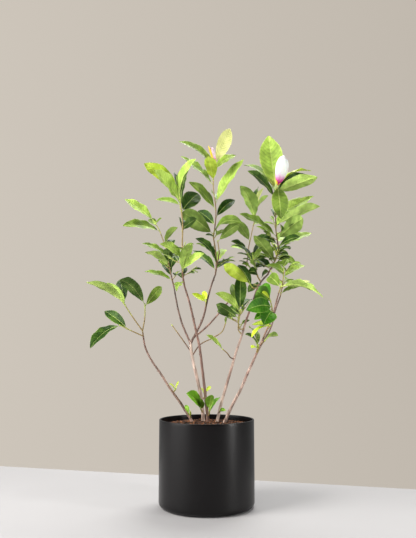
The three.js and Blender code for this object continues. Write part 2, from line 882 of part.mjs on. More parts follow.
// The first way of turning aside that clears everything near, or nothing where none does. The whole leaf
// keeps clear of the masses apart, its blade of the limbs and the masses joined to its own, and the blade's
// outer part of its own mass, whose leaves may cross close to the twig.
function settleLeaf(size, foot, mass, standing) {
  const own = standing.filter((item) => item.mass === mass.name);
  const limb = standing.filter((item) => item.mass === "limb");
  const others = standing.filter((item) => !own.includes(item) && !limb.includes(item));
  const joined = others.filter((item) => item.mass === mass.twigs[0].on[0] || item.on === mass.name);
  const apart = others.filter((item) => !joined.includes(item));
  for (const aside of TURNS_ASIDE) {
    const frameAt = ribFrame(foot, size, aside);
    const [whole, blade, outer] = [0, 1, 2].map((leftOut) => makeLeaf(size, frameAt, leftOut));
    const clear = isClear(outer, own.map((item) => item.outer), LEAF_CLEAR / 2)
      && isClear(blade, limb, LEAF_CLEAR / 2)
      && isClear(blade, joined, LEAF_CLEAR)
      && isClear(whole, apart, LEAF_CLEAR);
    if (clear) return { whole, blade, outer };
  }
  return null;
}

// The masses of foliage: all twigs first, then leaf by leaf, then each mass fused and cut clear of the rest
function growMasses(sleeves) {
  const standing = sleeves.map((solid) => boxed(solid, "limb"));
  const grown = MASSES.map((mass) => {
    const parts = mass.twigs.map((twig, t) => twigTube(mass.name, t, 0));
    if (mass.bloom) {
      parts.push(makeBloom(mass.bloom, pointAlong(routeOf(mass.name, mass.bloom.twig), mass.bloom.at)));
    }
    standing.push(...parts.map((solid) => boxed(solid, mass.name, mass.twigs[0].on[0])));
    return { name: mass.name, parts };
  });
  MASSES.forEach((mass, m) => {
    mass.twigs.forEach((twig, t) => {
      (twig.leaves ?? []).forEach((row, k) => {
        const size = leafSizes(row, 100 * m + 10 * t + k);
        const leaf = settleLeaf(size, pointAlong(routeOf(mass.name, t), size.percent), mass, standing);
        if (leaf === null) return;
        grown[m].parts.push(leaf.whole);
        standing.push(boxed(leaf.blade, mass.name, undefined, leaf.outer));
      });
    });
  });
  const around = [...sleeves];
  return grown.map(({ name, parts }, m) => {
    const fused = parts.reduce((whole, piece) => whole.add(piece));
    const solid = largestBody(around.reduce((left, sleeve) => left.subtract(sleeve), fused));
    around.push(...MASSES[m].twigs.map((twig, t) => twigTube(name, t, GAP)));
    return { name, solid };
  });
}

const plant = new THREE.Group();
plant.add(meshOf("pot", makePot(), COLOURS.pot, 0.45));
plant.add(meshOf("soil", makeSoil(), COLOURS.soil, 0.95));
const { limbs, sleeves } = growLimbs();
for (const limb of limbs) {
  plant.add(meshOf(limb.name, limb.solid, COLOURS[limb.colour], 0.8));
}
for (const mass of growMasses(sleeves)) {
  plant.add(meshOf(mass.name, mass.solid, COLOURS.leaf, 0.5));
}

export default plant;
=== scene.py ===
"""Dresses a potted jane magnolia around its solids: bark, twigs, leaves, blossom, pot, soil and studio.

Metres, +Z up, +Y away from the viewer, with the origin at the centre of the pot's flat underside. The
plant's own sizes are in millimetres and are turned into metres where a piece is built.
"""

import logging
import math
from collections.abc import Sequence
from dataclasses import dataclass, field, replace
from enum import Enum

import bpy
import numpy as np
from mathutils import Matrix, Vector, noise
from mathutils.kdtree import KDTree


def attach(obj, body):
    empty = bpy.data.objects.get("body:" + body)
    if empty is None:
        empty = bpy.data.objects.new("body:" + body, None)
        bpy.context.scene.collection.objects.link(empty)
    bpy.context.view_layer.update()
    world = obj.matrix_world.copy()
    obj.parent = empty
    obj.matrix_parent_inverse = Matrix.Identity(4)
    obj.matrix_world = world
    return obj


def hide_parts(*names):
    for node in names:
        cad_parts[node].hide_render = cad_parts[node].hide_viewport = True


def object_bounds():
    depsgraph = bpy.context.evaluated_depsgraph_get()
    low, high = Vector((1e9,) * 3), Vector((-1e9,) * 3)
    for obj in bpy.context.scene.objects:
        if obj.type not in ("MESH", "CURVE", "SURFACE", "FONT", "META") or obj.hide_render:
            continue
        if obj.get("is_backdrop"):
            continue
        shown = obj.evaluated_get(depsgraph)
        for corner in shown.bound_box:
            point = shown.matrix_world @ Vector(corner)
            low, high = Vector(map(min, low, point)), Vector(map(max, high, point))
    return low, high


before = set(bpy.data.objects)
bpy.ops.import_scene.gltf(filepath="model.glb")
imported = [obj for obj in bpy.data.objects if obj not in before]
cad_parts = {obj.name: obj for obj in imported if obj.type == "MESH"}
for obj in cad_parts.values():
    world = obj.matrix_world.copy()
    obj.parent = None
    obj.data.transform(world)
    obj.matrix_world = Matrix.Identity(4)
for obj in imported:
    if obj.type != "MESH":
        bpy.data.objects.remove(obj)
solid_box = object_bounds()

log = logging.getLogger("magnolia")

Pair = tuple[float, float]
Triple = tuple[float, float, float]
Point = Triple
Colour = tuple[float, float, float, float]
Pairs = tuple[Pair, ...]
Material = bpy.types.Material
Piece = bpy.types.Object
Socket = bpy.types.NodeSocket
Inputs = dict[str | int, Socket | Sequence[float] | float]

MM = 0.001
BODY = "root"
LIMB_SEED = 500
TWIG_SEED = 1000
FINE_SEED = 3000
WHITE: Colour = (1.0, 1.0, 1.0, 1.0)
BLACK: Colour = (0.0, 0.0, 0.0, 1.0)


class Bark(Enum):
    """The record's two slots for bark."""

    BROWN = "brown_bark"
    PALE = "pale_bark"


class Tint(Enum):
    """The greens that leaves are dealt, from the dark old ones to the pale newest and thinnest: the dark end
    is deepened by painted shade, and the pale end brightened by a painted glow of light through the leaf.
    """

    DARK = "dark"
    MIDDLE = "middle"
    LIGHT = "light"
    YELLOW = "yellow"
    PALE = "pale"
    BRIGHT = "bright"
    FRESH = "fresh"


class LeafFace(Enum):
    """What a face of a leaf belongs to, in the order of the leaf's finishes."""

    BLADE = 0
    SIDE_VEIN = 1
    MIDRIB = 2
    # Painted light: the margin is paler, as a rim of light shining through the leaf's edge.
    MARGIN = 3
    UNDERSIDE = 4
    # Painted shade: a darker strip just before each side vein, where a pleat's shade falls.
    CREASE = 5


def chance(seed: float, draw: float) -> float:
    """A number from 0 to 1 that is always the same for the same seed and draw."""
    x = math.sin(seed * 12.9898 + draw * 78.233) * 43758.5453
    return x - math.floor(x)


def vary(middle: float, spread: float, seed: float, draw: float) -> float:
    """A rule's value for one seed and draw, at most the spread away from the middle."""
    return middle + spread * (2 * chance(seed, draw) - 1)


def unit(vectors: np.ndarray) -> np.ndarray:
    """The same directions with a length of 1, for one vector or for rows of them."""
    return vectors / np.linalg.norm(vectors, axis=-1, keepdims=True)


def bell(distance: np.ndarray, width: float) -> np.ndarray:
    """A smooth hump: 1 at no distance, and next to nothing past twice the width."""
    return np.exp(-((distance / width) ** 2))


@dataclass(frozen=True)
class Shade:
    """A colour by its red, green and blue, each from 0 to 255."""

    red: float
    green: float
    blue: float

    def paint(self, gain: float = 1.0) -> Colour:
        """The colour for a shader's socket.

        Args:
            gain: How much brighter than the colour itself.

        Returns:
            Red, green, blue and opacity as light adds them up.
        """
        parts = np.array([self.red, self.green, self.blue]) / 255
        light = np.where(parts <= 0.04045, parts / 12.92, ((parts + 0.055) / 1.055) ** 2.4) * gain
        return (*(float(x) for x in np.minimum(light, 1.0)), 1.0)

    def towards(self, other: "Shade", share: float) -> "Shade":
        """The colour at a share of the way to another."""
        ends = zip((self.red, self.green, self.blue), (other.red, other.green, other.blue), strict=True)
        return Shade(*(a + (b - a) * share for a, b in ends))


@dataclass(frozen=True)
class ShadeRun:
    """Colours that run from one end, by a middle one, to the other."""

    first: Shade
    middle: Shade
    last: Shade
    bend: float = 0.5

    def at(self, share: float) -> Shade:
        """The colour at a share of the run.

        Args:
            share: How far along, where the middle colour stands at the bend.

        Returns:
            The colour there.
        """
        if share < self.bend:
            return self.first.towards(self.middle, share / self.bend)
        return self.middle.towards(self.last, (share - self.bend) / (1 - self.bend))


class Nodes:
    """The nodes of a material or of the surroundings, as they are added and linked."""

    def __init__(self, tree: bpy.types.NodeTree) -> None:
        """Takes on the tree that the nodes go into."""
        self.tree = tree

    def feed(self, node: bpy.types.Node, inputs: Inputs) -> None:
        """Fills inputs of a node.

        Args:
            node: The node.
            inputs: For each input, by its name or number, a value or the socket that it is linked to.
        """
        for name, value in inputs.items():
            if isinstance(value, Socket):
                self.tree.links.new(value, node.inputs[name])
            else:
                node.inputs[name].default_value = value

    def add(self, kind: str, inputs: Inputs | None = None, **settings: str) -> bpy.types.Node:
        """Adds a node.

        Args:
            kind: Its type, short of the words that every type starts with.
            inputs: Its inputs, as they are fed.
            settings: Its own settings.

        Returns:
            The node.
        """
        node = self.tree.nodes.new(f"ShaderNode{kind}")
        for name, value in settings.items():
            setattr(node, name, value)
        self.feed(node, inputs or {})
        return node

    def ramp(self, factor: Socket, stops: Sequence[tuple[float, Colour]]) -> Socket:
        """Colours along a value.

        Args:
            factor: The value.
            stops: Each colour with the value where it stands.

        Returns:
            The socket with the colour.
        """
        node = self.add("ValToRGB", {"Fac": factor})
        elements = node.color_ramp.elements
        while len(elements) < len(stops):
            elements.new(0.5)
        for element, (position, colour) in zip(elements, stops, strict=True):
            element.position = position
            element.color = colour
        return node.outputs["Color"]

    def spread(self, factor: Socket, before: Pair, after: Pair) -> Socket:
        """A value moved from one range to another.

        Args:
            factor: The value.
            before: The range's ends before.
            after: The same ends after.

        Returns:
            The socket with the value, kept within the range.
        """
        names = ("From Min", "From Max", "To Min", "To Max")
        inputs = dict(zip(names, (*before, *after), strict=True))
        return self.add("MapRange", {"Value": factor, **inputs}).outputs["Result"]


class Recipe(Nodes):
    """The nodes of one material, laid out by the piece's own coordinates."""

    def __init__(self, name: str) -> None:
        """Starts a material with a plain shader.

        Args:
            name: The material's name.
        """
        self.material = bpy.data.materials.new(name)
        self.material.use_nodes = True
        super().__init__(self.material.node_tree)
        self.shader = self.tree.nodes["Principled BSDF"]
        self.place = self.add("TexCoord").outputs["Object"]

    def fix(self, inputs: Inputs) -> None:
        """Fills the shader's own inputs."""
        self.feed(self.shader, inputs)

    def drawn_out(self, share: float) -> Socket:
        """The piece's coordinates, with its patterns drawn out upwards by one over the share."""
        return self.add("Mapping", {"Scale": (1.0, 1.0, share), "Vector": self.place}).outputs["Vector"]

    def noise(self, scale: float, detail: float = 2.0, place: Socket | None = None) -> Socket:
        """Cloudy noise from 0 to 1, so many clouds to the metre, finer with more detail."""
        inputs = {"Scale": scale, "Detail": detail, "Vector": place or self.place}
        return self.add("TexNoise", inputs).outputs["Fac"]

    def cells(self, scale: float, feature: str = "F1") -> Socket:
        """The distance from the middles or the edges of random cells, so many to the metre."""
        inputs = {"Scale": scale, "Vector": self.place}
        return self.add("TexVoronoi", inputs, feature=feature).outputs["Distance"]

    def shaded(self, factor: Socket, shade: Shade, gains: Pairs) -> Socket:
        """One colour, darker and lighter along a value by gains that each stand at a value."""
        return self.ramp(factor, [(at, shade.paint(gain)) for at, gain in gains])

    def spots(self, factor: Socket, edges: Pair) -> Socket:
        """1 where a value is below the first edge, and falling to 0 at the second."""
        return self.ramp(factor, list(zip(edges, (WHITE, BLACK), strict=True)))

    def mixed(self, factor: Socket, first: Socket, second: Colour) -> Socket:
        """A plain colour laid over another, as far as the factor says."""
        inputs = {"Factor": factor, "A": first, "B": second}
        return self.add("Mix", inputs, data_type="RGBA").outputs["Result"]

    def roughness(self, factor: Socket, low: float, high: float) -> None:
        """Lets the roughness follow a value, from low at 0 to high at 1."""
        self.fix({"Roughness": self.spread(factor, (0.0, 1.0), (low, high))})

    def relief(self, *heights: tuple[Socket, float]) -> None:
        """Roughens the surface.

        Args:
            heights: Each height from 0 to 1 with its depth in millimetres.
        """
        normal: Inputs = {}
        for height, depth in heights:
            bump = self.add("Bump", {"Distance": depth * MM, "Height": height, **normal})
            normal = {"Normal": bump.outputs["Normal"]}
        self.fix(normal)


RIB_TONE = Shade(222, 230, 146)
UNDER_TONE = Shade(176, 196, 140)
# The colour that the painted shade in the leaves' pleats draws towards.
CREASE_SHADE_TONE = Shade(40, 62, 12)
FACE_TONES: dict[LeafFace, tuple[Shade, float]] = {
    LeafFace.BLADE: (RIB_TONE, 0.0),
    LeafFace.SIDE_VEIN: (RIB_TONE, 0.17),
    LeafFace.MIDRIB: (RIB_TONE, 0.58),
    # The margin's lighter colour is a painted rim of light.
    LeafFace.MARGIN: (RIB_TONE, 0.4),
    LeafFace.UNDERSIDE: (UNDER_TONE, 0.28),
    # Painted shade in the pleats.
    LeafFace.CREASE: (CREASE_SHADE_TONE, 0.12),
}


@dataclass(frozen=True)
class LeafFinish:
    """A leaf's colours, worked out from its blade's, each softly mottled over a fine net of veins."""

    blade: Shade
    roughness: float = 0.52
    uneven: float = 0.05
    under_rougher: float = 0.16
    specular: float = 0.2
    clouds: float = 170.0
    detail: float = 3.0
    # Broad patches, partly the leaf's own uneven tone and partly painted light and shade: the darker ones
    # painted shade, the paler and yellower ones painted sunlight.
    uneven_and_lit_patches: float = 30.0
    patch_edges: Triple = (0.34, 0.5, 0.66)
    patch_dark_and_shaded: float = 0.66
    patch_pale_and_lit: float = 1.3
    patch_lit_yellowing: float = 0.16
    speck_edges: Pair = (0.35, 0.65)
    speck_dark: float = 0.5
    speck_share: float = 0.14
    net: float = 700.0
    net_depth: float = 0.02
    swell: float = 160.0
    swell_depth: float = 0.12

    def material(self, name: str, face: LeafFace) -> Material:
        """Makes the material of one kind of face.

        Args:
            name: The material's name.
            face: What the face belongs to.

        Returns:
            The material.
        """
        recipe = Recipe(name)
        shade = self.blade.towards(*FACE_TONES[face])
        # Painted light and shade over the leaf's own uneven tone: a lit yellow-green, the plain colour and a
        # shaded one, in broad patches.
        light = shade.towards(RIB_TONE, self.patch_lit_yellowing).paint(self.patch_pale_and_lit)
        colours = (shade.paint(self.patch_dark_and_shaded), shade.paint(), light)
        uneven_and_lit_patches = recipe.ramp(recipe.noise(self.uneven_and_lit_patches), list(zip(self.patch_edges, colours, strict=True)))
        clouds = recipe.noise(self.clouds, self.detail)
        specks = {0: recipe.spots(clouds, self.speck_edges), 1: self.speck_share}
        specks = recipe.add("Math", specks, operation="MULTIPLY").outputs["Value"]
        rough = self.roughness + (self.under_rougher if face is LeafFace.UNDERSIDE else 0.0)
        net = recipe.cells(self.net, "DISTANCE_TO_EDGE")
        recipe.fix({
            "Base Color": recipe.mixed(specks, uneven_and_lit_patches, shade.paint(self.speck_dark)),
            "Specular IOR Level": self.specular,
        })
        recipe.roughness(clouds, rough - self.uneven, rough + self.uneven)
        recipe.relief((net, self.net_depth), (recipe.noise(self.swell), self.swell_depth))
        return recipe.material


@dataclass(frozen=True)
class BarkFinish:
    """Smooth young bark with fine wrinkles and pale pores, anywhere from the palest to the darkest."""

    share: float
    shades: ShadeRun = ShadeRun(Shade(206, 182, 168), Shade(142, 110, 98), Shade(88, 72, 66))
    pore: Shade = Shade(222, 206, 190)
    # The blotches are partly the bark's own uneven tone and partly painted light: their bright ends are
    # painted highlight and their dark ends painted shade.
    blotches: float = 95.0
    blotch_detail: float = 4.0
    blotch_tone_and_light_gains: Pairs = ((0.34, 0.5), (0.5, 0.96), (0.66, 1.34))
    blotch_draw: float = 0.3
    pores: float = 420.0
    pore_edges: Pair = (0.12, 0.2)
    pore_share: float = 0.5
    pore_height: float = 0.12
    wrinkles: float = 900.0
    wrinkle_detail: float = 3.0
    wrinkle_draw: float = 0.22
    wrinkle_depth: float = 0.14
    roughness: Pair = (0.62, 0.8)

    def material(self, name: str) -> Material:
        """Makes the material.

        Args:
            name: The material's name.

        Returns:
            The material.
        """
        recipe = Recipe(name)
        shade = self.shades.at(self.share)
        blotches = recipe.noise(self.blotches, self.blotch_detail, recipe.drawn_out(self.blotch_draw))
        # Painted highlight and shade in blotches, over the bark's own uneven tone.
        base = recipe.shaded(blotches, shade, self.blotch_tone_and_light_gains)
        pores = recipe.spots(recipe.cells(self.pores), self.pore_edges)
        wrinkles = recipe.noise(self.wrinkles, self.wrinkle_detail, recipe.drawn_out(self.wrinkle_draw))
        pore = shade.towards(self.pore, self.pore_share).paint()
        recipe.fix({"Base Color": recipe.mixed(pores, base, pore)})
        recipe.roughness(blotches, *self.roughness)
        recipe.relief((wrinkles, self.wrinkle_depth), (pores, self.pore_height))
        return recipe.material


@dataclass(frozen=True)
class PetalFinish:
    """One band of a petal's colour, silky, with faint lengthwise veins."""

    shade: Shade
    veins: float = 520.0
    vein_detail: float = 3.0
    vein_draw: float = 0.12
    vein_depth: float = 0.2
    gains: Pairs = ((0.3, 0.9), (0.68, 1.06))
    roughness: Pair = (0.42, 0.56)
    silk: float = 0.25
    glow: float = 0.12
    glow_depth: float = 2.0

    def material(self, name: str) -> Material:
        """Makes the material.

        Args:
            name: The material's name.

        Returns:
            The material.
        """
        recipe = Recipe(name)
        veins = recipe.noise(self.veins, self.vein_detail, recipe.drawn_out(self.vein_draw))
        recipe.fix({
            "Base Color": recipe.shaded(veins, self.shade, self.gains),
            "Sheen Weight": self.silk,
            "Subsurface Weight": self.glow,
            "Subsurface Scale": self.glow_depth * MM,
        })
        recipe.roughness(veins, *self.roughness)
        recipe.relief((veins, self.vein_depth))
        return recipe.material


@dataclass(frozen=True)
class CloudyFinish:
    """One colour in darker and lighter clouds, over grains that each have a scale and a depth."""

    shade: Shade
    clouds: float
    detail: float
    gains: Pairs
    roughness: Pair
    specular: float = 0.5
    cloud_depth: float = 0.0
    grains: Pairs = ()

    def material(self, name: str) -> Material:
        """Makes the material.

        Args:
            name: The material's name.

        Returns:
            The material.
        """
        recipe = Recipe(name)
        clouds = recipe.noise(self.clouds, self.detail)
        base = recipe.shaded(clouds, self.shade, self.gains)
        recipe.fix({"Base Color": base, "Specular IOR Level": self.specular})
        recipe.roughness(clouds, *self.roughness)
        own = ((clouds, self.cloud_depth),) if self.cloud_depth else ()
        recipe.relief(*own, *((recipe.noise(scale), depth) for scale, depth in self.grains))
        return recipe.material


class MeshDraft:
    """Closed bodies gathered for one mesh, each face with the number of its finish."""

    def __init__(self, name: str) -> None:
        """Starts an empty draft.

        Args:
            name: The piece's name.
        """
        self.name = name
        self.corners: list[np.ndarray] = []
        self.loops: list[np.ndarray] = []
        self.sides: list[np.ndarray] = []
        self.finishes: list[np.ndarray] = []
        self.creased: list[np.ndarray] = []
        self.count = 0

    def add(self, corners: np.ndarray, faces: Sequence[tuple[np.ndarray, np.ndarray]],
            creased: np.ndarray | None = None) -> None:
        """Adds one closed body.

        Args:
            corners: Its corners, one row each.
            faces: Groups of faces, as rows of corner numbers, with each face's finish.
            creased: True for the corners whose shared edges stay sharp.
        """
        for group, finish in faces:
            self.loops.append((group + self.count).ravel())
            self.sides.append(np.full(len(group), group.shape[1]))
            self.finishes.append(np.broadcast_to(finish, len(group)))
        self.corners.append(corners)
        self.creased.append(np.zeros(len(corners), bool) if creased is None else creased)
        self.count += len(corners)

    def keep_within(self, box: Sequence[Sequence[float]]) -> None:
        """Draws any corner outside a box in to its nearest side."""
        self.corners = [np.clip(corners, *box) for corners in self.corners]

    def build(self) -> Piece:
        """Makes the mesh and its object.

        Returns:
            The object, in the scene and without materials.
        """
        sides = np.concatenate(self.sides)
        loops = np.concatenate(self.loops)
        mesh = bpy.data.meshes.new(self.name)
        mesh.vertices.add(self.count)
        mesh.vertices.foreach_set("co", np.concatenate(self.corners).astype(np.float32).ravel())
        mesh.loops.add(len(loops))
        mesh.loops.foreach_set("vertex_index", loops.astype(np.int32))
        mesh.polygons.add(len(sides))
        mesh.polygons.foreach_set("loop_start", (np.cumsum(sides) - sides).astype(np.int32))
        mesh.polygons.foreach_set("material_index", np.concatenate(self.finishes).astype(np.int32))
        mesh.polygons.foreach_set("use_smooth", np.ones(len(sides), bool))
        mesh.update(calc_edges=True)
        self.crease(mesh)
        piece = bpy.data.objects.new(self.name, mesh)
        bpy.context.scene.collection.objects.link(piece)
        return piece

    def crease(self, mesh: bpy.types.Mesh) -> None:
        """Keeps the edges between creased corners sharp.

        Args:
            mesh: The finished mesh.
        """
        creased = np.concatenate(self.creased)
        ends = np.zeros(len(mesh.edges) * 2, np.int32)
        mesh.edges.foreach_get("vertices", ends)
        sharp = mesh.attributes.new("sharp_edge", "BOOLEAN", "EDGE")
        sharp.data.foreach_set("value", creased[ends].reshape(-1, 2).all(axis=1))

    def add_tube(self, line: np.ndarray, radii: np.ndarray, finish: np.ndarray | int) -> None:
        """Adds a tube with closed ends.

        Args:
            line: The middle of each ring.
            radii: For each ring, its radius at each of its corners.
            finish: One finish, or one for each stretch between rings.
        """
        _, normals, binormals = frames_along(line)
        angles = turns_of(radii.shape[1])[None, :, None]
        around = normals[:, None] * np.cos(angles) + binormals[:, None] * np.sin(angles)
        self.add_rings(line[:, None] + around * radii[:, :, None], line[[0, -1]], finish)

    def add_rings(self, rings: np.ndarray, ends: np.ndarray, finish: np.ndarray | int) -> None:
        """Adds a skin through rings that closes to a point at either end.

        Args:
            rings: The corners of each ring in turn.
            ends: The two points.
            finish: One finish, or one for each stretch between rings.
        """
        count, sides = rings.shape[:2]
        numbers = np.arange(count * sides).reshape(count, sides)
        numbers = np.concatenate((numbers, numbers[:, :1]), axis=1)
        foot = np.column_stack((np.full(sides, count * sides), numbers[0, 1:], numbers[0, :-1]))
        tip = np.column_stack((np.full(sides, count * sides + 1), numbers[-1, :-1], numbers[-1, 1:]))
        dealt = np.broadcast_to(finish, count - 1)
        self.add(np.concatenate((rings.reshape(-1, 3), ends)), (
            (quads(numbers), np.repeat(dealt, sides)), (foot, dealt[:1]), (tip, dealt[-1:])))

    def add_shell(self, front: np.ndarray, back: np.ndarray, front_finish: np.ndarray | int,
                  back_finish: np.ndarray | int) -> None:
        """Adds a thin sheet whose two faces meet along its edge.

        Args:
            front: The front face's corners, in rows and columns, seen with the columns running right
                and the rows running up.
            back: The back face's corners, used inside the edge.
            front_finish: The finish of each cell of the front, or one finish.
            back_finish: The same for the back.
        """
        rows, columns = front.shape[:2]
        upper = np.arange(rows * columns).reshape(rows, columns)
        lower = upper.copy()
        lower[1:-1, 1:-1] = np.arange((rows - 2) * (columns - 2)).reshape(rows - 2, -1) + rows * columns
        corners = np.concatenate((front.reshape(-1, 3), back[1:-1, 1:-1].reshape(-1, 3)))
        creased = np.zeros((rows, columns), bool)
        creased[[0, -1]] = True
        creased[:, [0, -1]] = True
        creased = np.concatenate((creased.ravel(), np.zeros((rows - 2) * (columns - 2), bool)))
        cells = (rows - 1, columns - 1)
        self.add(corners, (
            (quads(upper), np.broadcast_to(front_finish, cells).ravel()),
            (quads(lower)[:, ::-1], np.broadcast_to(back_finish, cells).ravel()),
        ), creased)


def quads(numbers: np.ndarray) -> np.ndarray:
    """The cells of a grid of corner numbers, each as its four corners in turn."""
    corners = (numbers[:-1, :-1], numbers[:-1, 1:], numbers[1:, 1:], numbers[1:, :-1])
    return np.stack(corners, -1).reshape(-1, 4)


def turns_of(sides: int) -> np.ndarray:
    """The angles of a ring's corners."""
    return np.arange(sides) / sides * 2 * math.pi


def frames_along(line: np.ndarray) -> tuple[np.ndarray, np.ndarray, np.ndarray]:
    """Directions along and across a line that turn no more than it does.

    Args:
        line: The line's points, one row each.

    Returns:
        For each point the direction along the line and two directions across it.
    """
    tangents = unit(np.gradient(line, axis=0))
    start = np.array((0.0, 1.0, 0.0)) if abs(tangents[0, 1]) < 0.9 else np.array((1.0, 0.0, 0.0))
    normals = np.empty_like(tangents)
    normal = start
    for i, tangent in enumerate(tangents):
        normal = unit(normal - tangent * normal.dot(tangent))
        normals[i] = normal
    return tangents, normals, np.cross(tangents, normals)


class Route:
    """A smooth line through knots, found by its distance along."""

    STEPS = 40

    def __init__(self, knots: Sequence[Sequence[float]]) -> None:
        """Draws the line.

        Args:
            knots: The knots that it goes through.
        """
        knots = np.array(knots, float)
        ends = np.concatenate((2 * knots[:1] - knots[1:2], knots, 2 * knots[-1:] - knots[-2:-1]))
        spans = [self.span(ends[i:i + 4]) for i in range(len(knots) - 1)]
        self.points = np.concatenate((*spans, knots[-1:]))
        steps = np.linalg.norm(np.diff(self.points, axis=0), axis=1)
        self.distances = np.concatenate(([0.0], np.cumsum(steps)))
        self.length = float(self.distances[-1])

    def span(self, near: np.ndarray) -> np.ndarray:
        """The line between two knots.

        Args:
            near: The knot before, the two knots and the knot after.

        Returns:
            Points from the first knot on, short of the second.
        """
        before, between, after = np.linalg.norm(np.diff(near, axis=0), axis=1)[:, None] ** 0.5
        start = ((near[1] - near[0]) / before - (near[2] - near[0]) / (before + between)
                 + (near[2] - near[1]) / between) * between
        end = ((near[2] - near[1]) / between - (near[3] - near[1]) / (between + after)
               + (near[3] - near[2]) / after) * between
        t = np.arange(self.STEPS)[:, None] / self.STEPS
        square = t * t
        cube = square * t
        return ((2 * cube - 3 * square + 1) * near[1] + (cube - 2 * square + t) * start
                + (3 * square - 2 * cube) * near[2] + (cube - square) * end)

    def at(self, shares: np.ndarray | float) -> np.ndarray:
        """The points at shares of the line's length."""
        distance = np.clip(shares, 0.0, 1.0) * self.length
        return np.stack([np.interp(distance, self.distances, self.points[:, k]) for k in range(3)], -1)


def heading(bearing: float, rise: float) -> tuple[np.ndarray, np.ndarray]:
    """The directions of a shoot.

    Args:
        bearing: Degrees round from +X towards +Y.
        rise: Degrees above level.

    Returns:
        The direction along it, and the one square to it that is nearest to straight up.
    """
    b = math.radians(bearing)
    r = math.radians(rise)
    along = np.array((math.cos(b) * math.cos(r), math.sin(b) * math.cos(r), math.sin(r)))
    up = np.array((-math.cos(b) * math.sin(r), -math.sin(b) * math.sin(r), math.cos(r)))
    return along, up


@dataclass(frozen=True)
class Limb:
    """One cane or bough: its radii and knots in millimetres, and how dark its bark is at each end."""

    name: str
    bark: Bark
    foot: float
    tip: float
    dark: Pair
    route: tuple[Point, ...]
    on: tuple[str, float] | None = None


@dataclass(frozen=True)
class Leaf:
    """One leaf: where it leaves its twig, its directions in degrees, and its size in millimetres.

    The slimness is the share of its solid's width that a rolled young leaf shows.
    """

    tint: Tint
    percent: float
    bearing: float
    rise: float
    length: float
    turn: float
    width: float | None = None
    arch: float | None = None
    slim: float = 1.0


@dataclass(frozen=True)
class Twig:
    """One twig: what it starts on with the percent along that, its knots, and its leaves.

    A fine twig is one that is carried on from the solid's own twigs and has no solid of its own.
    """

    on: tuple[str | int, float]
    route: tuple[Point, ...]
    leaves: tuple[Leaf, ...] = ()
    fine: bool = False


@dataclass(frozen=True)
class Bloom:
    """A closed flower or its bud: the percent along the first twig, its directions and its size.

    The flush is how much of its pink reaches the tip. Each bract is its turn round the flower, in
    degrees, and its length.
    """

    at: float
    bearing: float
    rise: float
    length: float
    width: float
    flush: float
    bracts: Pairs


@dataclass(frozen=True)
class Mass:
    """One tuft of foliage, which stands for the solid of its name."""

    name: str
    twigs: tuple[Twig, ...]
    bloom: Bloom | None = None


@dataclass(frozen=True)
class Undergrowth:
    """How many finer twigs a tuft carries, how long they are in millimetres, and their leaves' tints."""

    mass: str
    count: int
    reach: float
    tints: tuple[Tint, ...]


D, M, L = Tint.DARK, Tint.MIDDLE, Tint.LIGHT
Y, P, B, F = Tint.YELLOW, Tint.PALE, Tint.BRIGHT, Tint.FRESH

# Each limb's darkness at its ends is partly its bark's own tone and partly painted light: painted shade
# where a limb runs up into the foliage, darkest at the inner right cane's top in the thicket, and a painted
# highlight in the pale cane's palest bark.
LIMBS: tuple[Limb, ...] = (
    Limb("left_cane", Bark.BROWN, 4.4, 2.4, (0.25, 0.55), (
        (-35, 42, 225), (-75, 30, 290), (-110, 15, 340), (-140, 0, 388), (-168, -15, 430),
        (-184, -25, 465), (-190, -32, 495))),
    Limb("pale_cane", Bark.PALE, 5.6, 4.2, (0.12, 0.0), (
        (-9, 60, 225), (-17, 61, 310), (-31, 63, 375), (-42, 65, 420), (-49, 65, 460), (-50, 65, 487))),
    Limb("middle_cane", Bark.BROWN, 4.8, 2.6, (0.42, 0.6), (
        (6, 32, 225), (-4, 10, 320), (-13, -12, 400), (-21, -38, 465), (-34, -58, 525), (-50, -80, 595),
        (-66, -102, 648))),
    Limb("inner_right_cane", Bark.PALE, 4.8, 2.5, (0.05, 1.0), (
        (28, 38, 225), (45, 48, 295), (60, 55, 345), (80, 64, 410), (92, 70, 450), (110, 78, 500),
        (125, 78, 550), (145, 71, 605), (158, 62, 645), (172, 53, 672), (195, 45, 697))),
    Limb("outer_right_cane", Bark.PALE, 5.0, 3.3, (0.1, 0.5), (
        (47, 14, 225), (74, -18, 290), (99, -45, 340), (117, -72, 385), (134, -92, 425), (152, -110, 467))),
    Limb("back_left_bough", Bark.BROWN, 3.3, 2.2, (0.7, 0.9), (
        (-70, 79, 520), (-81, 88, 548), (-94, 102, 595), (-107, 120, 660)), ("pale_cane", 96)),
    Limb("centre_bough", Bark.PALE, 3.6, 2.4, (0.62, 0.85), (
        (-28, 66, 522), (-11, 62, 560), (2, 55, 615), (16, 50, 665), (28, 45, 697)), ("pale_cane", 98)),
    Limb("back_right_bough", Bark.PALE, 2.9, 2.0, (0.45, 0.85), (
        (-20, 82, 514), (5, 100, 537), (30, 119, 565), (57, 137, 598), (90, 159, 640), (115, 172, 683),
        (131, 184, 730), (139, 190, 770)), ("centre_bough", 8)),
    Limb("outer_bough", Bark.PALE, 2.9, 2.0, (0.4, 0.62), (
        (162, -119, 492), (172, -130, 516), (182, -138, 540), (190, -145, 564), (198, -150, 595),
        (205, -152, 620)), ("outer_right_cane", 98)),
    Limb("parallel_bough", Bark.PALE, 2.5, 1.8, (0.7, 0.75), (
        (166, -98, 487), (184, -90, 516), (195, -84, 544), (200, -80, 567), (210, -75, 595),
        (219, -71, 618)), ("outer_right_cane", 93)),
)

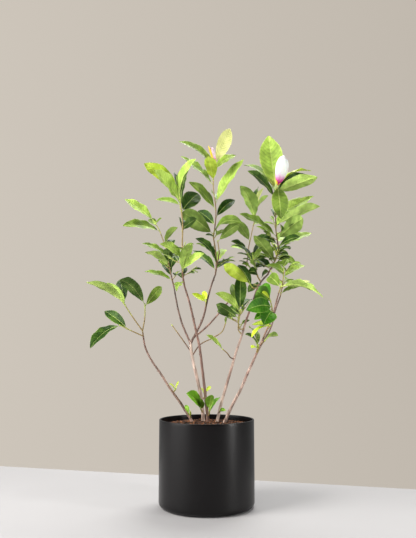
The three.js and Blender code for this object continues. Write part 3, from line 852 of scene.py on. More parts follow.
MASSES: tuple[Mass, ...] = (
    Mass("left_tuft", (
        Twig(("left_cane", 98), ((-192, -38, 515),)),
        Twig((0, 40), ((-224, -45, 515), (-255, -55, 530)), (
            Leaf(D, 71, 145, 30, 110, 50, 34), Leaf(D, 100, 231, -30, 134, 16, 44, 0.11))),
        Twig((0, 100), ((-224, -45, 560), (-250, -50, 600)), (
            Leaf(L, 88, 166, 49, 94, -80, 26), Leaf(D, 95, 114, 47, 110, 14, 37),
            Leaf(L, 100, 220, 22, 136, -16, 44, 0.08))),
        Twig((0, 100), ((-187, -26, 555), (-188, -15, 595)), (
            Leaf(M, 93, 52, 41, 100, 74, 32, 0.08), Leaf(D, 100, 236, 30, 134, -40, 40, 0.14))))),
    Mass("back_left_tuft", (
        Twig(("back_left_bough", 99), ((-116, 130, 697), (-125, 136, 738), (-134, 141, 788)), (
            Leaf(M, 12, 320, -10, 42, 60), Leaf(M, 21, 162, 18, 105, 30, 32, 0.06),
            Leaf(D, 31, 114, 38, 100, 24, 31), Leaf(D, 46, 78, 45, 94, 10),
            Leaf(L, 55, 227, 19, 116, -20, 32), Leaf(D, 65, 275, 20, 98, 8),
            Leaf(M, 82, 161, 28, 106, 32, 30), Leaf(D, 92, 68, 58, 76, 12))),)),
    Mass("back_left_top", (
        Twig(("back_left_tuft", 100), (
            (-146, 149, 822), (-159, 155, 856), (-169, 158, 874), (-179, 160, 890)), (
            Leaf(L, 18, 42, 35, 86, -64), Leaf(M, 62, 212, 2, 136, 50, 46, 0.08),
            Leaf(M, 82, 125, 30, 62, 34), Leaf(M, 90, 310, 20, 38, 60), Leaf(L, 100, 165, 37, 134, 42, 43))),
    )),
    Mass("middle_low_tuft", (
        Twig(("middle_cane", 99), ((-70, -109, 678), (-71, -115, 722), (-71, -120, 775)), (
            Leaf(M, 8, 242, -36, 50, -14, arch=0.2), Leaf(D, 14, 112, 15, 80, 6),
            Leaf(D, 23, 100, 32, 86, -46), Leaf(L, 29, 289, 42, 112, 4, 36),
            Leaf(L, 36, 310, 20, 106, 74, 32), Leaf(D, 44, 65, 25, 84, 50),
            Leaf(L, 55, 236, 19, 112, 82, 31))),)),
    Mass("middle_top_tuft", (
        Twig(("middle_low_tuft", 100), (
            (-70, -124, 812), (-72, -127, 846), (-76, -130, 876), (-79, -132, 902), (-82, -134, 930)), (
            Leaf(D, 16, 104, 49, 70, -30), Leaf(D, 22, 71, 30, 86, -80), Leaf(D, 54, 55, 40, 110, 48, 52),
            Leaf(D, 61, 75, 63, 126, -30, 34), Leaf(M, 67, 146, 17, 96, 34, 31, 0.04),
            Leaf(L, 71, 242, 23, 156, 84, 53, 0.04), Leaf(L, 78, 297, 40, 142, 84, 43, 0.12),
            Leaf(D, 86, 121, 65, 84, -18), Leaf(M, 92, 40, 54, 88, -50),
            Leaf(Y, 98, 225, 20, 140, -40, 42, 0.06))),)),
    Mass("centre_low_tuft", (
        Twig(("centre_bough", 99), (
            (30, 44, 716), (29, 41, 756), (24, 39, 795), (21, 38, 815), (25, 36, 838)), (
            Leaf(D, 9, 145, 38, 116, 28, 34), Leaf(D, 12, 49, 23, 76, 20), Leaf(D, 21, 232, 34, 126, 74, 37),
            Leaf(L, 24, 65, 35, 96, 12, 29), Leaf(M, 88, 227, 19, 150, -72, 57, 0.1),
            Leaf(M, 91, 309, 5, 136, 56, 41, 0.17))),
        Twig((0, 16), ((39, 34, 758), (35, 28, 797)), (
            Leaf(M, 100, 301, 21, 112, -64, 34, 0.12),)))),
    Mass("centre_mid_tuft", (
        Twig(("centre_low_tuft", 100), ((29, 33, 878), (28, 30, 914), (24, 27, 944), (21, 26, 970)), (
            Leaf(D, 10, 133, 36, 100, 52, 36), Leaf(D, 28, 39, 40, 106, 56, 33, 0.1),
            Leaf(M, 46, 228, 28, 142, 82, 41), Leaf(L, 61, 13, 58, 180, 30, 54),
            Leaf(M, 68, 98, 32, 80, -38))),)),
    Mass("centre_top_tuft", (
        Twig(("centre_mid_tuft", 100), ((21, 24, 1000), (25, 22, 1030), (28, 20, 1050)), (
            Leaf(M, 12, 156, 43, 158, 22, 44), Leaf(Y, 27, 263, 20, 130, 0, 40),
            Leaf(L, 72, 34, 36, 106, 40, 32), Leaf(M, 80, 171, 38, 150, 36, 45, 0.09),
            Leaf(P, 98, 46, 62, 150, 64, 46, 0.02))),
    ), Bloom(98, 215, 72, 58, 16, 0.26, ((275.0, 60.0), (20.0, 9.0)))),
    Mass("back_right_tuft", (
        Twig(("back_right_bough", 99), ((142, 191, 802), (149, 194, 834)), (
            Leaf(D, 14, 230, 22, 100, 66, 29), Leaf(M, 24, 310, -22, 76, 56), Leaf(M, 38, 134, 15, 88, 36),
            Leaf(M, 86, 237, 30, 106, -28, 36))),)),
    Mass("back_right_top", (
        Twig(("back_right_tuft", 100), (
            (156, 195, 866), (163, 195, 898), (169, 194, 930), (172, 190, 958)), (
            Leaf(M, 38, 63, 16, 86, 30), Leaf(M, 55, 230, 52, 130, 0, 58), Leaf(L, 84, 23, 47, 70, -44),
            Leaf(P, 92, 300, 52, 70, 16), Leaf(D, 100, 80, 50, 88, -48))),)),
    Mass("inner_left_tuft", (
        Twig(("inner_right_cane", 62), ((105, 66, 524), (99, 56, 552), (104, 49, 580)), (
            Leaf(D, 70, 228, 20, 112, -76, 32), Leaf(L, 94, 223, 27, 118, 76, 34),
            Leaf(M, 97, 112, 57, 110, 20, 36), Leaf(D, 100, 83, 61, 122, 14, 41))),)),
    Mass("inner_back_tuft", (
        Twig(("inner_right_cane", 58), ((101, 90, 522), (105, 100, 560), (114, 105, 596)), (
            Leaf(D, 72, 115, 20, 86, 44), Leaf(D, 90, 63, 24, 94, 4, 26), Leaf(M, 100, 80, 55, 46, -20))),)),
    Mass("side_leaf", (
        Twig(("inner_right_cane", 42), ((74, 54, 435), (64, 42, 448), (50, 30, 460)), (
            Leaf(L, 100, 220, 33, 80, 58, 24),)),)),
    Mass("inner_fork_tuft", (
        Twig(("inner_right_cane", 89), ((147, 51, 652), (137, 40, 662)), (
            Leaf(D, 72, 122, 46, 108, 34, 33), Leaf(Y, 100, 224, 23, 130, -72, 39))),)),
    Mass("inner_dark_pair", (
        Twig(("inner_right_cane", 91), ((158, 76, 664), (154, 88, 668)), (
            Leaf(D, 78, 108, -15, 70, -40), Leaf(D, 100, 72, -8, 60, -44))),)),
    Mass("thicket_left", (
        Twig(("inner_right_cane", 93), ((162, 66, 692), (155, 75, 722), (149, 80, 756)), (
            Leaf(D, 32, 242, 0, 74, 70), Leaf(M, 48, 246, 11, 86, 64), Leaf(D, 56, 66, 10, 80, 30),
            Leaf(D, 80, 107, 26, 80, -76), Leaf(M, 87, 282, 11, 94, 84, 27), Leaf(D, 94, 61, 39, 94, 28, 28),
            Leaf(D, 100, 160, 30, 86, 12))),)),
    Mass("thicket_right", (
        Twig(("inner_right_cane", 99), ((206, 39, 720), (218, 31, 745), (226, 25, 767)), (
            Leaf(D, 15, 108, -12, 62, 70), Leaf(D, 24, 131, 16, 86, 26), Leaf(M, 34, 55, -15, 86, 70),
            Leaf(M, 46, 291, -10, 84, 34), Leaf(M, 58, 234, 21, 138, -12, 41),
            Leaf(M, 68, 43, -7, 106, 70, 31), Leaf(Y, 76, 98, 38, 104, -40), Leaf(D, 83, 298, -9, 60, 26),
            Leaf(D, 91, 56, 15, 86, 16))),)),
    Mass("crown_low_tuft", (
        Twig(("thicket_right", 100), ((222, 15, 794), (217, 8, 822), (215, 1, 850)), (
            Leaf(L, 94, 25, 24, 184, -40, 55, 0.04), Leaf(M, 42, 298, 17, 142, -66, 53),
            Leaf(L, 82, 27, 42, 148, 16, 43), Leaf(D, 12, 303, 10, 106, 66, 30),
            Leaf(L, 16, 27, 22, 140, 36, 42), Leaf(D, 25, 132, 16, 110, 48, 31), Leaf(L, 32, 75, 30, 80, 32),
            Leaf(M, 51, 216, 20, 160, 60, 38, 0.05))),)),
    Mass("crown_mid_tuft", (
        Twig(("crown_low_tuft", 100), ((214, -6, 880), (211, -12, 906), (212, -16, 934)), (
            Leaf(D, 14, 95, 40, 76, 0, 20), Leaf(L, 28, 14, 28, 140, 44, 41, 0),
            Leaf(D, 90, 229, 23, 150, 78, 42, 0.06))),)),
    Mass("crown_top_tuft", (
        Twig(("crown_mid_tuft", 100), ((216, -19, 950), (221, -21, 966)), (
            Leaf(L, 54, 105, 72, 206, 20, 78, -0.03), Leaf(M, 90, 278, -72, 116, 8, 53, 0.06),
            Leaf(L, 30, 318, 8, 154, -40, 49, 0.02), Leaf(M, 44, 145, 41, 156, 20, 45, 0.12),
            Leaf(Y, 66, 18, 51, 138, 10, 36, 0.16), Leaf(D, 50, 30, 31, 132, 70, 40),
            Leaf(D, 36, 16, 44, 110, 22, 33), Leaf(M, 20, 88, 34, 108, 10))),
    ), Bloom(99, 318, 72, 98, 42, 0.0, ((20.0, 15.0), (150.0, 12.0), (265.0, 9.0)))),
    Mass("right_tuft", (
        Twig(("outer_bough", 99), ((211, -155, 638),), (
            Leaf(M, 82, 106, 24, 100, 48, 38), Leaf(P, 92, 34, 11, 116, 22, 30, 0),
            Leaf(L, 100, 309, -15, 160, -32, 45, 0.1))),)),
    Mass("right_back_tuft", (
        Twig(("parallel_bough", 99), ((224, -66, 642), (229, -61, 672), (231, -56, 704)), (
            Leaf(M, 10, 302, 11, 76, 46), Leaf(L, 64, 43, 23, 116, 24, 31), Leaf(M, 84, 119, 19, 86, 22),
            Leaf(M, 100, 60, 40, 46, 28))),)),
    Mass("fork_tuft", (
        Twig(("outer_right_cane", 94), ((147, -120, 466), (146, -128, 472)), (
            Leaf(Y, 58, 241, -1, 46, 18), Leaf(D, 78, 239, 23, 86, 52, 21),
            Leaf(M, 92, 103, 32, 104, -30, 30))),)),
    Mass("fork_leaf", (
        Twig(("outer_bough", 6), ((161, -126, 480), (165, -133, 484)), (
            Leaf(M, 100, 47, 13, 66, -38),)),)),
    Mass("bright_tuft", (
        Twig(("outer_bough", 58), ((184, -160, 578), (177, -170, 602)), (
            Leaf(B, 34, 243, -32, 76, 36, 50), Leaf(B, 56, 224, -7, 108, 76, 45),
            Leaf(Y, 100, 232, 20, 42, 66, 20), Leaf(B, 84, 222, 25, 62, -62, 50),
            Leaf(B, 94, 95, 31, 94, 28, 36), Leaf(B, 46, 206, -28, 66, 60))),)),
    Mass("yellow_pair", (
        Twig(("outer_bough", 36), ((180, -145, 526), (181, -152, 528)), (
            Leaf(Y, 80, 222, -24, 84, 0, 22, 0.12), Leaf(Y, 100, 217, 0, 70, -32, arch=0.04))),)),
    Mass("yellow_spur", (
        Twig(("centre_bough", 52), ((-2, 48, 612),), (
            Leaf(Y, 80, 188, 30, 52, 50, 24), Leaf(Y, 100, 120, 62, 36, 40, 18))),)),
    Mass("bare_left_twig", (
        Twig(("pale_cane", 86), ((-80, 80, 495), (-110, 95, 535))),)),
    Mass("bare_right_twig", (
        Twig(("pale_cane", 82), ((-20, 48, 475), (18, 35, 495), (48, 25, 515), (58, 20, 540)), (
            Leaf(M, 100, 275, 50, 24, 0, 8),)),)),
    Mass("left_cane_sprout", (
        Twig(("left_cane", 39), ((-95, 8, 340),), (
            Leaf(Y, 80, 235, 35, 36, 70, slim=0.55), Leaf(Y, 100, 70, 40, 36, 20, slim=0.45))),)),
    Mass("foot_left_sprout", (
        Twig(("pale_cane", 16), ((-14, 42, 270), (-18, 30, 279)), (
            Leaf(F, 88, 267, 40, 60, 38), Leaf(F, 100, 232, 36, 86, 86, 46))),)),
    Mass("foot_middle_sprout", (
        Twig(("middle_cane", 8), ((8, 10, 266), (8, -2, 280)), (
            Leaf(F, 66, 45, 42, 64, 0), Leaf(B, 86, 47, 47, 46, 0), Leaf(F, 100, 279, 53, 58, 10, 28))),)),
    Mass("foot_yellow_sprout", (
        Twig(("pale_cane", 28), ((-8, 73, 312), (-4, 78, 325)), (
            Leaf(Y, 74, 236, 50, 32, 88, slim=0.6), Leaf(Y, 100, 59, 29, 38, 38, slim=0.75))),)),
    Mass("foot_right_sprout", (
        Twig(("inner_right_cane", 8), ((40, 32, 272),), (
            Leaf(F, 100, 303, 9, 34, 76, arch=0.14),)),)),
    Mass("soil_sprout", (
        Twig(("left_cane", 10), ((-49, 24, 258), (-54, 18, 266)), (
            Leaf(Y, 70, 270, 30, 38, 60, slim=0.7), Leaf(F, 100, 120, 24, 34, 26))),)),
)

def seat(piece: Piece, nodes: Sequence[str]) -> None:
    """Puts a piece on the plant's body in place of its solids.

    Args:
        piece: The finished piece.
        nodes: The solids that it stands for.
    """
    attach(piece, BODY)
    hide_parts(*nodes)
    log.info("%s: %d faces for %s", piece.name, len(piece.data.polygons), ", ".join(nodes))


@dataclass
class Growth:
    """The plant's lines: every limb and twig with its route and its thickness, in millimetres.

    Of the finer twigs' pairs all but the stretch are a middle and the spread to either side of it, and a
    leaf's draws are those of its rise, length and turn.
    """

    limbs: tuple[Limb, ...]
    masses: tuple[Mass, ...]
    undergrowth: tuple[Undergrowth, ...] = ()
    fine_stretch: Pair = (0.08, 0.92)
    fine_spiral: float = 137.5
    fine_bearing: Pair = (30.0, 30.0)
    fine_rise: Pair = (30.0, 16.0)
    fine_reach: Pair = (1.0, 0.3)
    fine_lift: float = 7.0
    fine_radius: float = 1.2
    fine_leaves: int = 4
    first_leaf: float = 34.0
    leaf_aside: float = 62.0
    leaf_bearing: Pair = (0.0, 18.0)
    leaf_draws: tuple[Pair, Pair, Pair] = ((16.0, 20.0), (36.0, 9.0), (20.0, 50.0))
    limb_room: float = 6.0
    room_marks: Triple = (0.5, 0.75, 1.0)
    twig_foot: float = 2.0
    twig_share: float = 0.85
    twig_least: float = 1.15
    tip_from: float = 0.9
    taper: float = 0.8
    routes: dict[tuple[str, int], Route] = field(default_factory=dict)
    radii: dict[tuple[str, int], Pair] = field(default_factory=dict)

    def trace(self) -> None:
        """Works out the limbs first and then the twigs, each after what it starts on."""
        for limb in self.limbs:
            self.routes[limb.name, 0] = Route(self.started(limb.name, limb.on, limb.route))
            self.radii[limb.name, 0] = (limb.foot, limb.tip)
        for mass in self.masses:
            for t, twig in enumerate(mass.twigs):
                self.routes[mass.name, t] = Route(self.started(mass.name, twig.on, twig.route))
                self.radii[mass.name, t] = self.twig_radii(mass.name, twig)
        self.masses = tuple(self.thickened(mass, FINE_SEED + 100 * m) for m, mass in enumerate(self.masses))

    def thickened(self, mass: Mass, seed: int) -> Mass:
        """A tuft with its finer twigs.

        Args:
            mass: The tuft.
            seed: The number of its draws.

        Returns:
            The same tuft with those of its finer twigs that keep to its space.
        """
        twigs = list(mass.twigs)
        for more in self.undergrowth:
            if more.mass != mass.name:
                continue
            for k in range(more.count):
                twig = self.fine_twig(mass, more, k, seed + 10 * k)
                route = Route(self.started(mass.name, twig.on, twig.route))
                if self.has_room(mass.name, route.at(np.array(self.room_marks))):
                    self.routes[mass.name, len(twigs)] = route
                    self.radii[mass.name, len(twigs)] = (self.fine_radius, self.fine_radius * self.taper)
                    twigs.append(twig)
        return replace(mass, twigs=tuple(twigs))

    def fine_twig(self, mass: Mass, more: Undergrowth, index: int, seed: int) -> Twig:
        """One finer twig by the rule: a side shoot of the first twig with leaves to either side.

        Args:
            mass: The tuft.
            more: How the tuft is filled.
            index: Which of its finer twigs this is.
            seed: The number of its draws.

        Returns:
            The twig.
        """
        first, last = self.fine_stretch
        share = first + (last - first) * (index + 0.5) / more.count
        bearing = self.fine_spiral * index + vary(*self.fine_bearing, seed, 1)
        along, up = heading(bearing, vary(*self.fine_rise, seed, 2))
        length = more.reach * vary(*self.fine_reach, seed, 3)
        foot = self.routes[mass.name, 0].at(share)
        knots = tuple(tuple(foot + along * length * at + up * self.fine_lift * at * at) for at in (0.5, 1.0))
        leaves = []
        for j in range(self.fine_leaves):
            aside = self.leaf_aside * (1 if j % 2 else -1) * (1 - j / self.fine_leaves)
            leaves.append(Leaf(
                more.tints[j % len(more.tints)],
                self.first_leaf + (100 - self.first_leaf) * j / (self.fine_leaves - 1),
                bearing + aside + vary(*self.leaf_bearing, seed, 20 + j),
                *(vary(*self.leaf_draws[i], seed, 30 + 10 * i + j) for i in range(3))))
        return Twig((0, 100 * share), knots, tuple(leaves), True)

    def has_room(self, name: str, points: np.ndarray) -> bool:
        """Whether points are in a tuft's own space and clear of every limb.

        Args:
            name: The tuft.
            points: The points, one row each, in millimetres.

        Returns:
            True where they are.
        """
        box = np.array(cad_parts[name].bound_box) / MM
        if (points < box.min(axis=0)).any() or (points > box.max(axis=0)).any():
            return False
        wood = np.concatenate([self.routes[limb.name, 0].points for limb in self.limbs])
        return bool(np.linalg.norm(points[:, None] - wood, axis=-1).min() > self.limb_room)

    def carrier(self, name: str, on: tuple[str | int, float]) -> tuple[tuple[str, int], float]:
        """What a shoot starts on: the carrier's key, and the share of its length."""
        under, percent = on
        return ((name, under) if isinstance(under, int) else (under, 0)), percent / 100

    def started(self, name: str, on: tuple[str | int, float] | None, route: Sequence[Point]) -> list[Point]:
        """A shoot's knots with the point that it starts on.

        Args:
            name: The shoot's own limb or mass.
            on: The carrier and the percent along it, or nothing for a cane.
            route: The shoot's own knots.

        Returns:
            All its knots.
        """
        if on is None:
            return list(route)
        key, share = self.carrier(name, on)
        return [tuple(self.routes[key].at(share)), *route]

    def radius_at(self, key: tuple[str, int], share: float) -> float:
        """How thick a limb or twig is at a share of its length."""
        foot, tip = self.radii[key]
        return foot + (tip - foot) * share

    def twig_radii(self, name: str, twig: Twig) -> Pair:
        """A twig's thickness, drawn from what carries it.

        Args:
            name: The twig's mass.
            twig: Its row.

        Returns:
            Its radius at its foot and at its tip.
        """
        key, share = self.carrier(name, twig.on)
        under = self.radius_at(key, share)
        foot = under if share > self.tip_from else min(under * self.twig_share, self.twig_foot)
        return foot, max(foot * self.taper, self.twig_least)


@dataclass
class Wood:
    """The canes and boughs: each one a tapering limb with its rings, buds and wrinkled bark."""

    growth: Growth
    sides: int = 24
    ring: float = 2.4
    flare: float = 0.4
    flare_height: float = 30.0
    collar: float = 0.4
    collar_length: float = 7.0
    scar: Pair = (0.1, 0.03)
    scar_length: float = 3.4
    groove: float = 0.05
    groove_length: float = 0.9
    groove_gap: float = 2.6
    lumps: float = 0.07
    # The height of each layer of lumps, and how close they are across and along.
    lump_sizes: tuple[Triple, ...] = ((1.0, 2.1, 0.05), (0.5, 5.0, 0.16))
    first_node: Pair = (31.0, 6.0)
    node_spacing: Pair = (31.0, 9.0)
    bare_foot: float = 0.06
    bud: Pair = (4.4, 1.2)
    darkening: float = 2.2
    patchiness: float = 0.35
    steps: int = 7

    def build(self) -> list[Piece]:
        """Makes every limb, in the order of their rows."""
        return [self.build_limb(limb, LIMB_SEED + 10 * i) for i, limb in enumerate(self.growth.limbs)]

    def build_limb(self, limb: Limb, seed: int) -> Piece:
        """Makes one limb.

        Args:
            limb: Its row.
            seed: The number of its draws.

        Returns:
            Its object.
        """
        route = self.growth.routes[limb.name, 0]
        rings = max(3, math.ceil(route.length / self.ring))
        shares = np.linspace(0.0, 1.0, rings + 1)
        line = route.at(shares)
        draft = MeshDraft(limb.name + "_bark")
        nodes = self.nodes(route.length, seed)
        radii = self.radii(limb, route.length, shares, nodes, seed)
        draft.add_tube(line * MM, radii * MM, self.deal(limb, shares[:-1], seed))
        for k, at in enumerate(nodes):
            share = at / route.length
            if share < self.bare_foot or (share < 0.5 and k % 2 == 0):
                continue
            add_bud(draft, route, share, self.growth.radius_at((limb.name, 0), share), seed + k,
                    vary(*self.bud, seed + k, 5), self.step(limb, share))
        return draft.build()

    def nodes(self, length: float, seed: int) -> list[float]:
        """Where leaves once stood.

        Args:
            length: The limb's length.
            seed: The number of its draws.

        Returns:
            The places, in millimetres along the limb.
        """
        places = []
        at = vary(*self.first_node, seed, 0)
        while at < length - 8:
            places.append(at)
            at += vary(*self.node_spacing, seed, len(places))
        return places

    def radii(self, limb: Limb, length: float, shares: np.ndarray, nodes: list[float],
              seed: int) -> np.ndarray:
        """The limb's radius at every corner, in millimetres.

        Args:
            limb: Its row.
            length: Its length.
            shares: Its rings, as shares of the length.
            nodes: Where its rings of old leaf scars are.
            seed: The number of its draws.

        Returns:
            One row for each ring.
        """
        along = shares * length
        radius = limb.foot + (limb.tip - limb.foot) * shares
        if limb.on is None:
            radius = radius * (1 + self.flare * np.maximum(0.0, 1 - along / self.flare_height) ** 2)
        else:
            radius = radius * (1 + self.collar * bell(along, self.collar_length))
        for k, at in enumerate(nodes):
            swell = vary(*self.scar, seed, 20 + k) * bell(along - at, self.scar_length)
            groove = self.groove * bell(along - at - self.groove_gap, self.groove_length)
            radius = radius * (1 + swell - groove)
        rough = [[
            sum(height * noise.noise(Vector((wide * math.cos(a), wide * math.sin(a), z * tall + seed)))
                for height, wide, tall in self.lump_sizes)
            for a in turns_of(self.sides)] for z in along]
        return radius[:, None] * (1 + self.lumps * np.array(rough))

    def step(self, limb: Limb, share: float) -> int:
        """Which of the bark's finishes a limb has at a share of its length."""
        # The darkness is partly the bark's own tone and partly painted shade up in the foliage, with a
        # painted highlight where it is palest.
        dark = limb.dark[0] + (limb.dark[1] - limb.dark[0]) * max(share, 0.0) ** self.darkening
        return int(round(min(max(dark, 0.0), 1.0) * (self.steps - 1)))

    def deal(self, limb: Limb, shares: np.ndarray, seed: int) -> np.ndarray:
        """The finish of each stretch of a limb, a little uneven, as old bark is."""
        uneven = [noise.noise(Vector((share * 9, seed, 0.5))) * self.patchiness for share in shares]
        return np.array([self.step(limb, share + more) for share, more in zip(shares, uneven, strict=True)])

    def dress(self, pieces: list[Piece]) -> None:
        """Gives every limb the bark's finishes and seats it.

        Args:
            pieces: The limbs' objects, in the order of their rows.
        """
        finishes = [BarkFinish(k / (self.steps - 1)).material(f"bark_{k}") for k in range(self.steps)]
        for limb, piece in zip(self.growth.limbs, pieces, strict=True):
            for material in finishes:
                piece.data.materials.append(material)
            seat(piece, [limb.name])


BUD_LEAN = 0.75
BUD_SET = 0.7
BUD_TURN = 2.4
BUD_GIRTH = 0.26
BUD_SWELL = (0.75, 1.0, 0.95, 0.72, 0.4, 0.06)
TIP_BUD_SWELL = (0.95, 1.15, 1.3, 1.25, 1.0, 0.7, 0.36, 0.06)


def add_bud(draft: MeshDraft, route: Route, share: float, radius: float, seed: int, length: float,
            finish: int) -> None:
    """Adds a small pointed bud that leans up and out from a limb or twig.

    Args:
        draft: The mesh that it joins.
        route: The line that it stands on, in millimetres.
        share: Where along the line.
        radius: The thickness there.
        seed: The number of its draws.
        length: How long it is.
        finish: The number of its finish.
    """
    foot = route.at(share)
    tangent = unit(route.at(min(share + 0.02, 1.0)) - route.at(max(share - 0.02, 0.0)))
    side = unit(np.cross(tangent, np.array((math.cos(seed * BUD_TURN), math.sin(seed * BUD_TURN), 0.2))))
    lean = unit(tangent + BUD_LEAN * side)
    shares = np.linspace(0.0, 1.0, len(BUD_SWELL))
    bend = tangent * (shares**2)[:, None]
    line = (foot + side * radius * BUD_SET) + lean * shares[:, None] * length + bend
    swell = np.array(BUD_SWELL) * length * BUD_GIRTH
    draft.add_tube(line * MM, np.repeat(swell[:, None], 8, axis=1) * MM, finish)


@dataclass
class Shoots:
    """This year's twigs in one mesh, with a ring and a bud at each leaf and a long bud at each tip."""

    growth: Growth
    sides: int = 12
    ring: float = 2.0
    knee: float = 0.22
    knee_length: float = 2.0
    side_bud: float = 3.6
    tip_bud: Pair = (7.5, 2.0)
    top_leaf: float = 97.0
    greening: float = 1.5
    old_greens: Pair = (0.0, 0.55)
    new_greens: Pair = (0.4, 1.0)
    spur_greens: Pair = (0.0, 0.6)
    steps: int = 5
    shades: ShadeRun = ShadeRun(Shade(112, 82, 66), Shade(150, 128, 78), Shade(178, 196, 84))
    skin: CloudyFinish = CloudyFinish(
        Shade(112, 82, 66), 210.0, 3.0, ((0.3, 0.8), (0.7, 1.2)), (0.5, 0.68), grains=((900.0, 0.06),))

    def build(self) -> Piece:
        """Makes all the twigs.

        Returns:
            Their object.
        """
        draft = MeshDraft("twigs")
        carried = {twig.on[0] for mass in self.growth.masses for twig in mass.twigs}
        for m, mass in enumerate(self.growth.masses):
            for t, twig in enumerate(mass.twigs):
                own = sum(not other.fine for other in mass.twigs)
                goes_on = t == 0 and (mass.name in carried or own > 2)
                self.add_twig(draft, mass, t, twig, TWIG_SEED + 10 * m + t, goes_on)
        return draft.build()

    def add_twig(self, draft: MeshDraft, mass: Mass, index: int, twig: Twig, seed: int,
                 goes_on: bool) -> None:
        """Adds one twig.

        Args:
            draft: The mesh that it joins.
            mass: The tuft that it is in.
            index: Which of the tuft's twigs it is.
            twig: Its row.
            seed: The number of its draws.
            goes_on: Whether another twig grows on from it.
        """
        route = self.growth.routes[mass.name, index]
        foot, tip = self.growth.radii[mass.name, index]
        rings = max(4, math.ceil(route.length / self.ring))
        shares = np.linspace(0.0, 1.0, rings + 1)
        along = shares * route.length
        radius = foot + (tip - foot) * shares
        for leaf in twig.leaves:
            off = along - leaf.percent / 100 * route.length
            radius = radius * (1 + self.knee * bell(off, self.knee_length))
        radii = np.repeat(radius[:, None], self.sides, axis=1)
        young = self.new_greens if len(twig.leaves) > 1 else self.spur_greens
        first, last = self.old_greens if goes_on else young
        green = first + (last - first) * shares[:-1] ** self.greening
        draft.add_tube(route.at(shares) * MM, radii * MM, np.rint(green * (self.steps - 1)))
        bud = self.steps - 1 - int(goes_on)
        for k, leaf in enumerate(twig.leaves):
            if leaf.percent < self.top_leaf:
                share = leaf.percent / 100 + 0.01
                add_bud(draft, route, share, radius.mean(), seed + 7 * k, self.side_bud, bud)
        if not goes_on and mass.bloom is None:
            self.add_tip_bud(draft, route, tip, vary(*self.tip_bud, seed, 3))

    def add_tip_bud(self, draft: MeshDraft, route: Route, radius: float, length: float) -> None:
        """Adds the long bud that ends a shoot.

        Args:
            draft: The mesh that it joins.
            route: The shoot's line.
            radius: The shoot's thickness at its tip.
            length: How long the bud is.
        """
        swell = np.array(TIP_BUD_SWELL) * radius
        shares = np.linspace(0.0, 1.0, len(swell))
        tangent = unit(route.at(1.0) - route.at(0.96))
        line = route.at(1.0) - tangent + tangent * shares[:, None] * length
        draft.add_tube(line * MM, np.repeat(swell[:, None], 10, axis=1) * MM, self.steps - 1)

    def dress(self, piece: Piece) -> None:
        """Gives the twigs their finishes and seats them.

        Args:
            piece: The twigs' object.
        """
        for k in range(self.steps):
            skin = replace(self.skin, shade=self.shades.at(k / (self.steps - 1)))
            piece.data.materials.append(skin.material(f"shoot_{k}"))
        seat(piece, [mass.name for mass in self.growth.masses])


@dataclass(frozen=True)
class Blade:
    """One leaf in place: the line of its rib and the directions across it, in millimetres."""

    foot: np.ndarray
    along: np.ndarray
    face: np.ndarray
    bow: np.ndarray
    length: float
    width: float
    arch: float

    @classmethod
    def placed(cls, leaf: Leaf, foot: np.ndarray, aside: Point, width: float, arch: float) -> "Blade":
        """Places a leaf.

        Args:
            leaf: Its row.
            foot: Where its stalk starts.
            aside: How far it turns aside: bearing, rise and turn.
            width: How wide it is.
            arch: How far it bows, as a share of its length.

        Returns:
            The leaf in place.
        """
        along, up = heading(leaf.bearing + aside[0], leaf.rise + aside[1])
        turn = math.radians(leaf.turn + aside[2])
        front = np.cross(along, up) * (1 if math.cos(math.radians(leaf.bearing)) >= 0 else -1)
        face = up * math.cos(turn) + front * math.sin(turn)
        return cls(foot, along, face, unit(up + face), leaf.length, width, arch)

    def rib(self, shares: np.ndarray) -> tuple[np.ndarray, np.ndarray, np.ndarray]:
        """How the rib runs.

        Args:
            shares: Shares of the leaf's length.

        Returns:
            At each share the rib's place, the direction off the blade and the one across it.
        """
        s = shares[..., None]
        bow = self.bow * self.arch * 4
        place = self.foot + (self.along * s + bow * s * (1 - s)) * self.length
        tangent = unit(self.along + bow * (1 - 2 * s))
        normal = unit(self.face - tangent * (tangent @ self.face)[..., None])
        return place, normal, np.cross(tangent, normal)


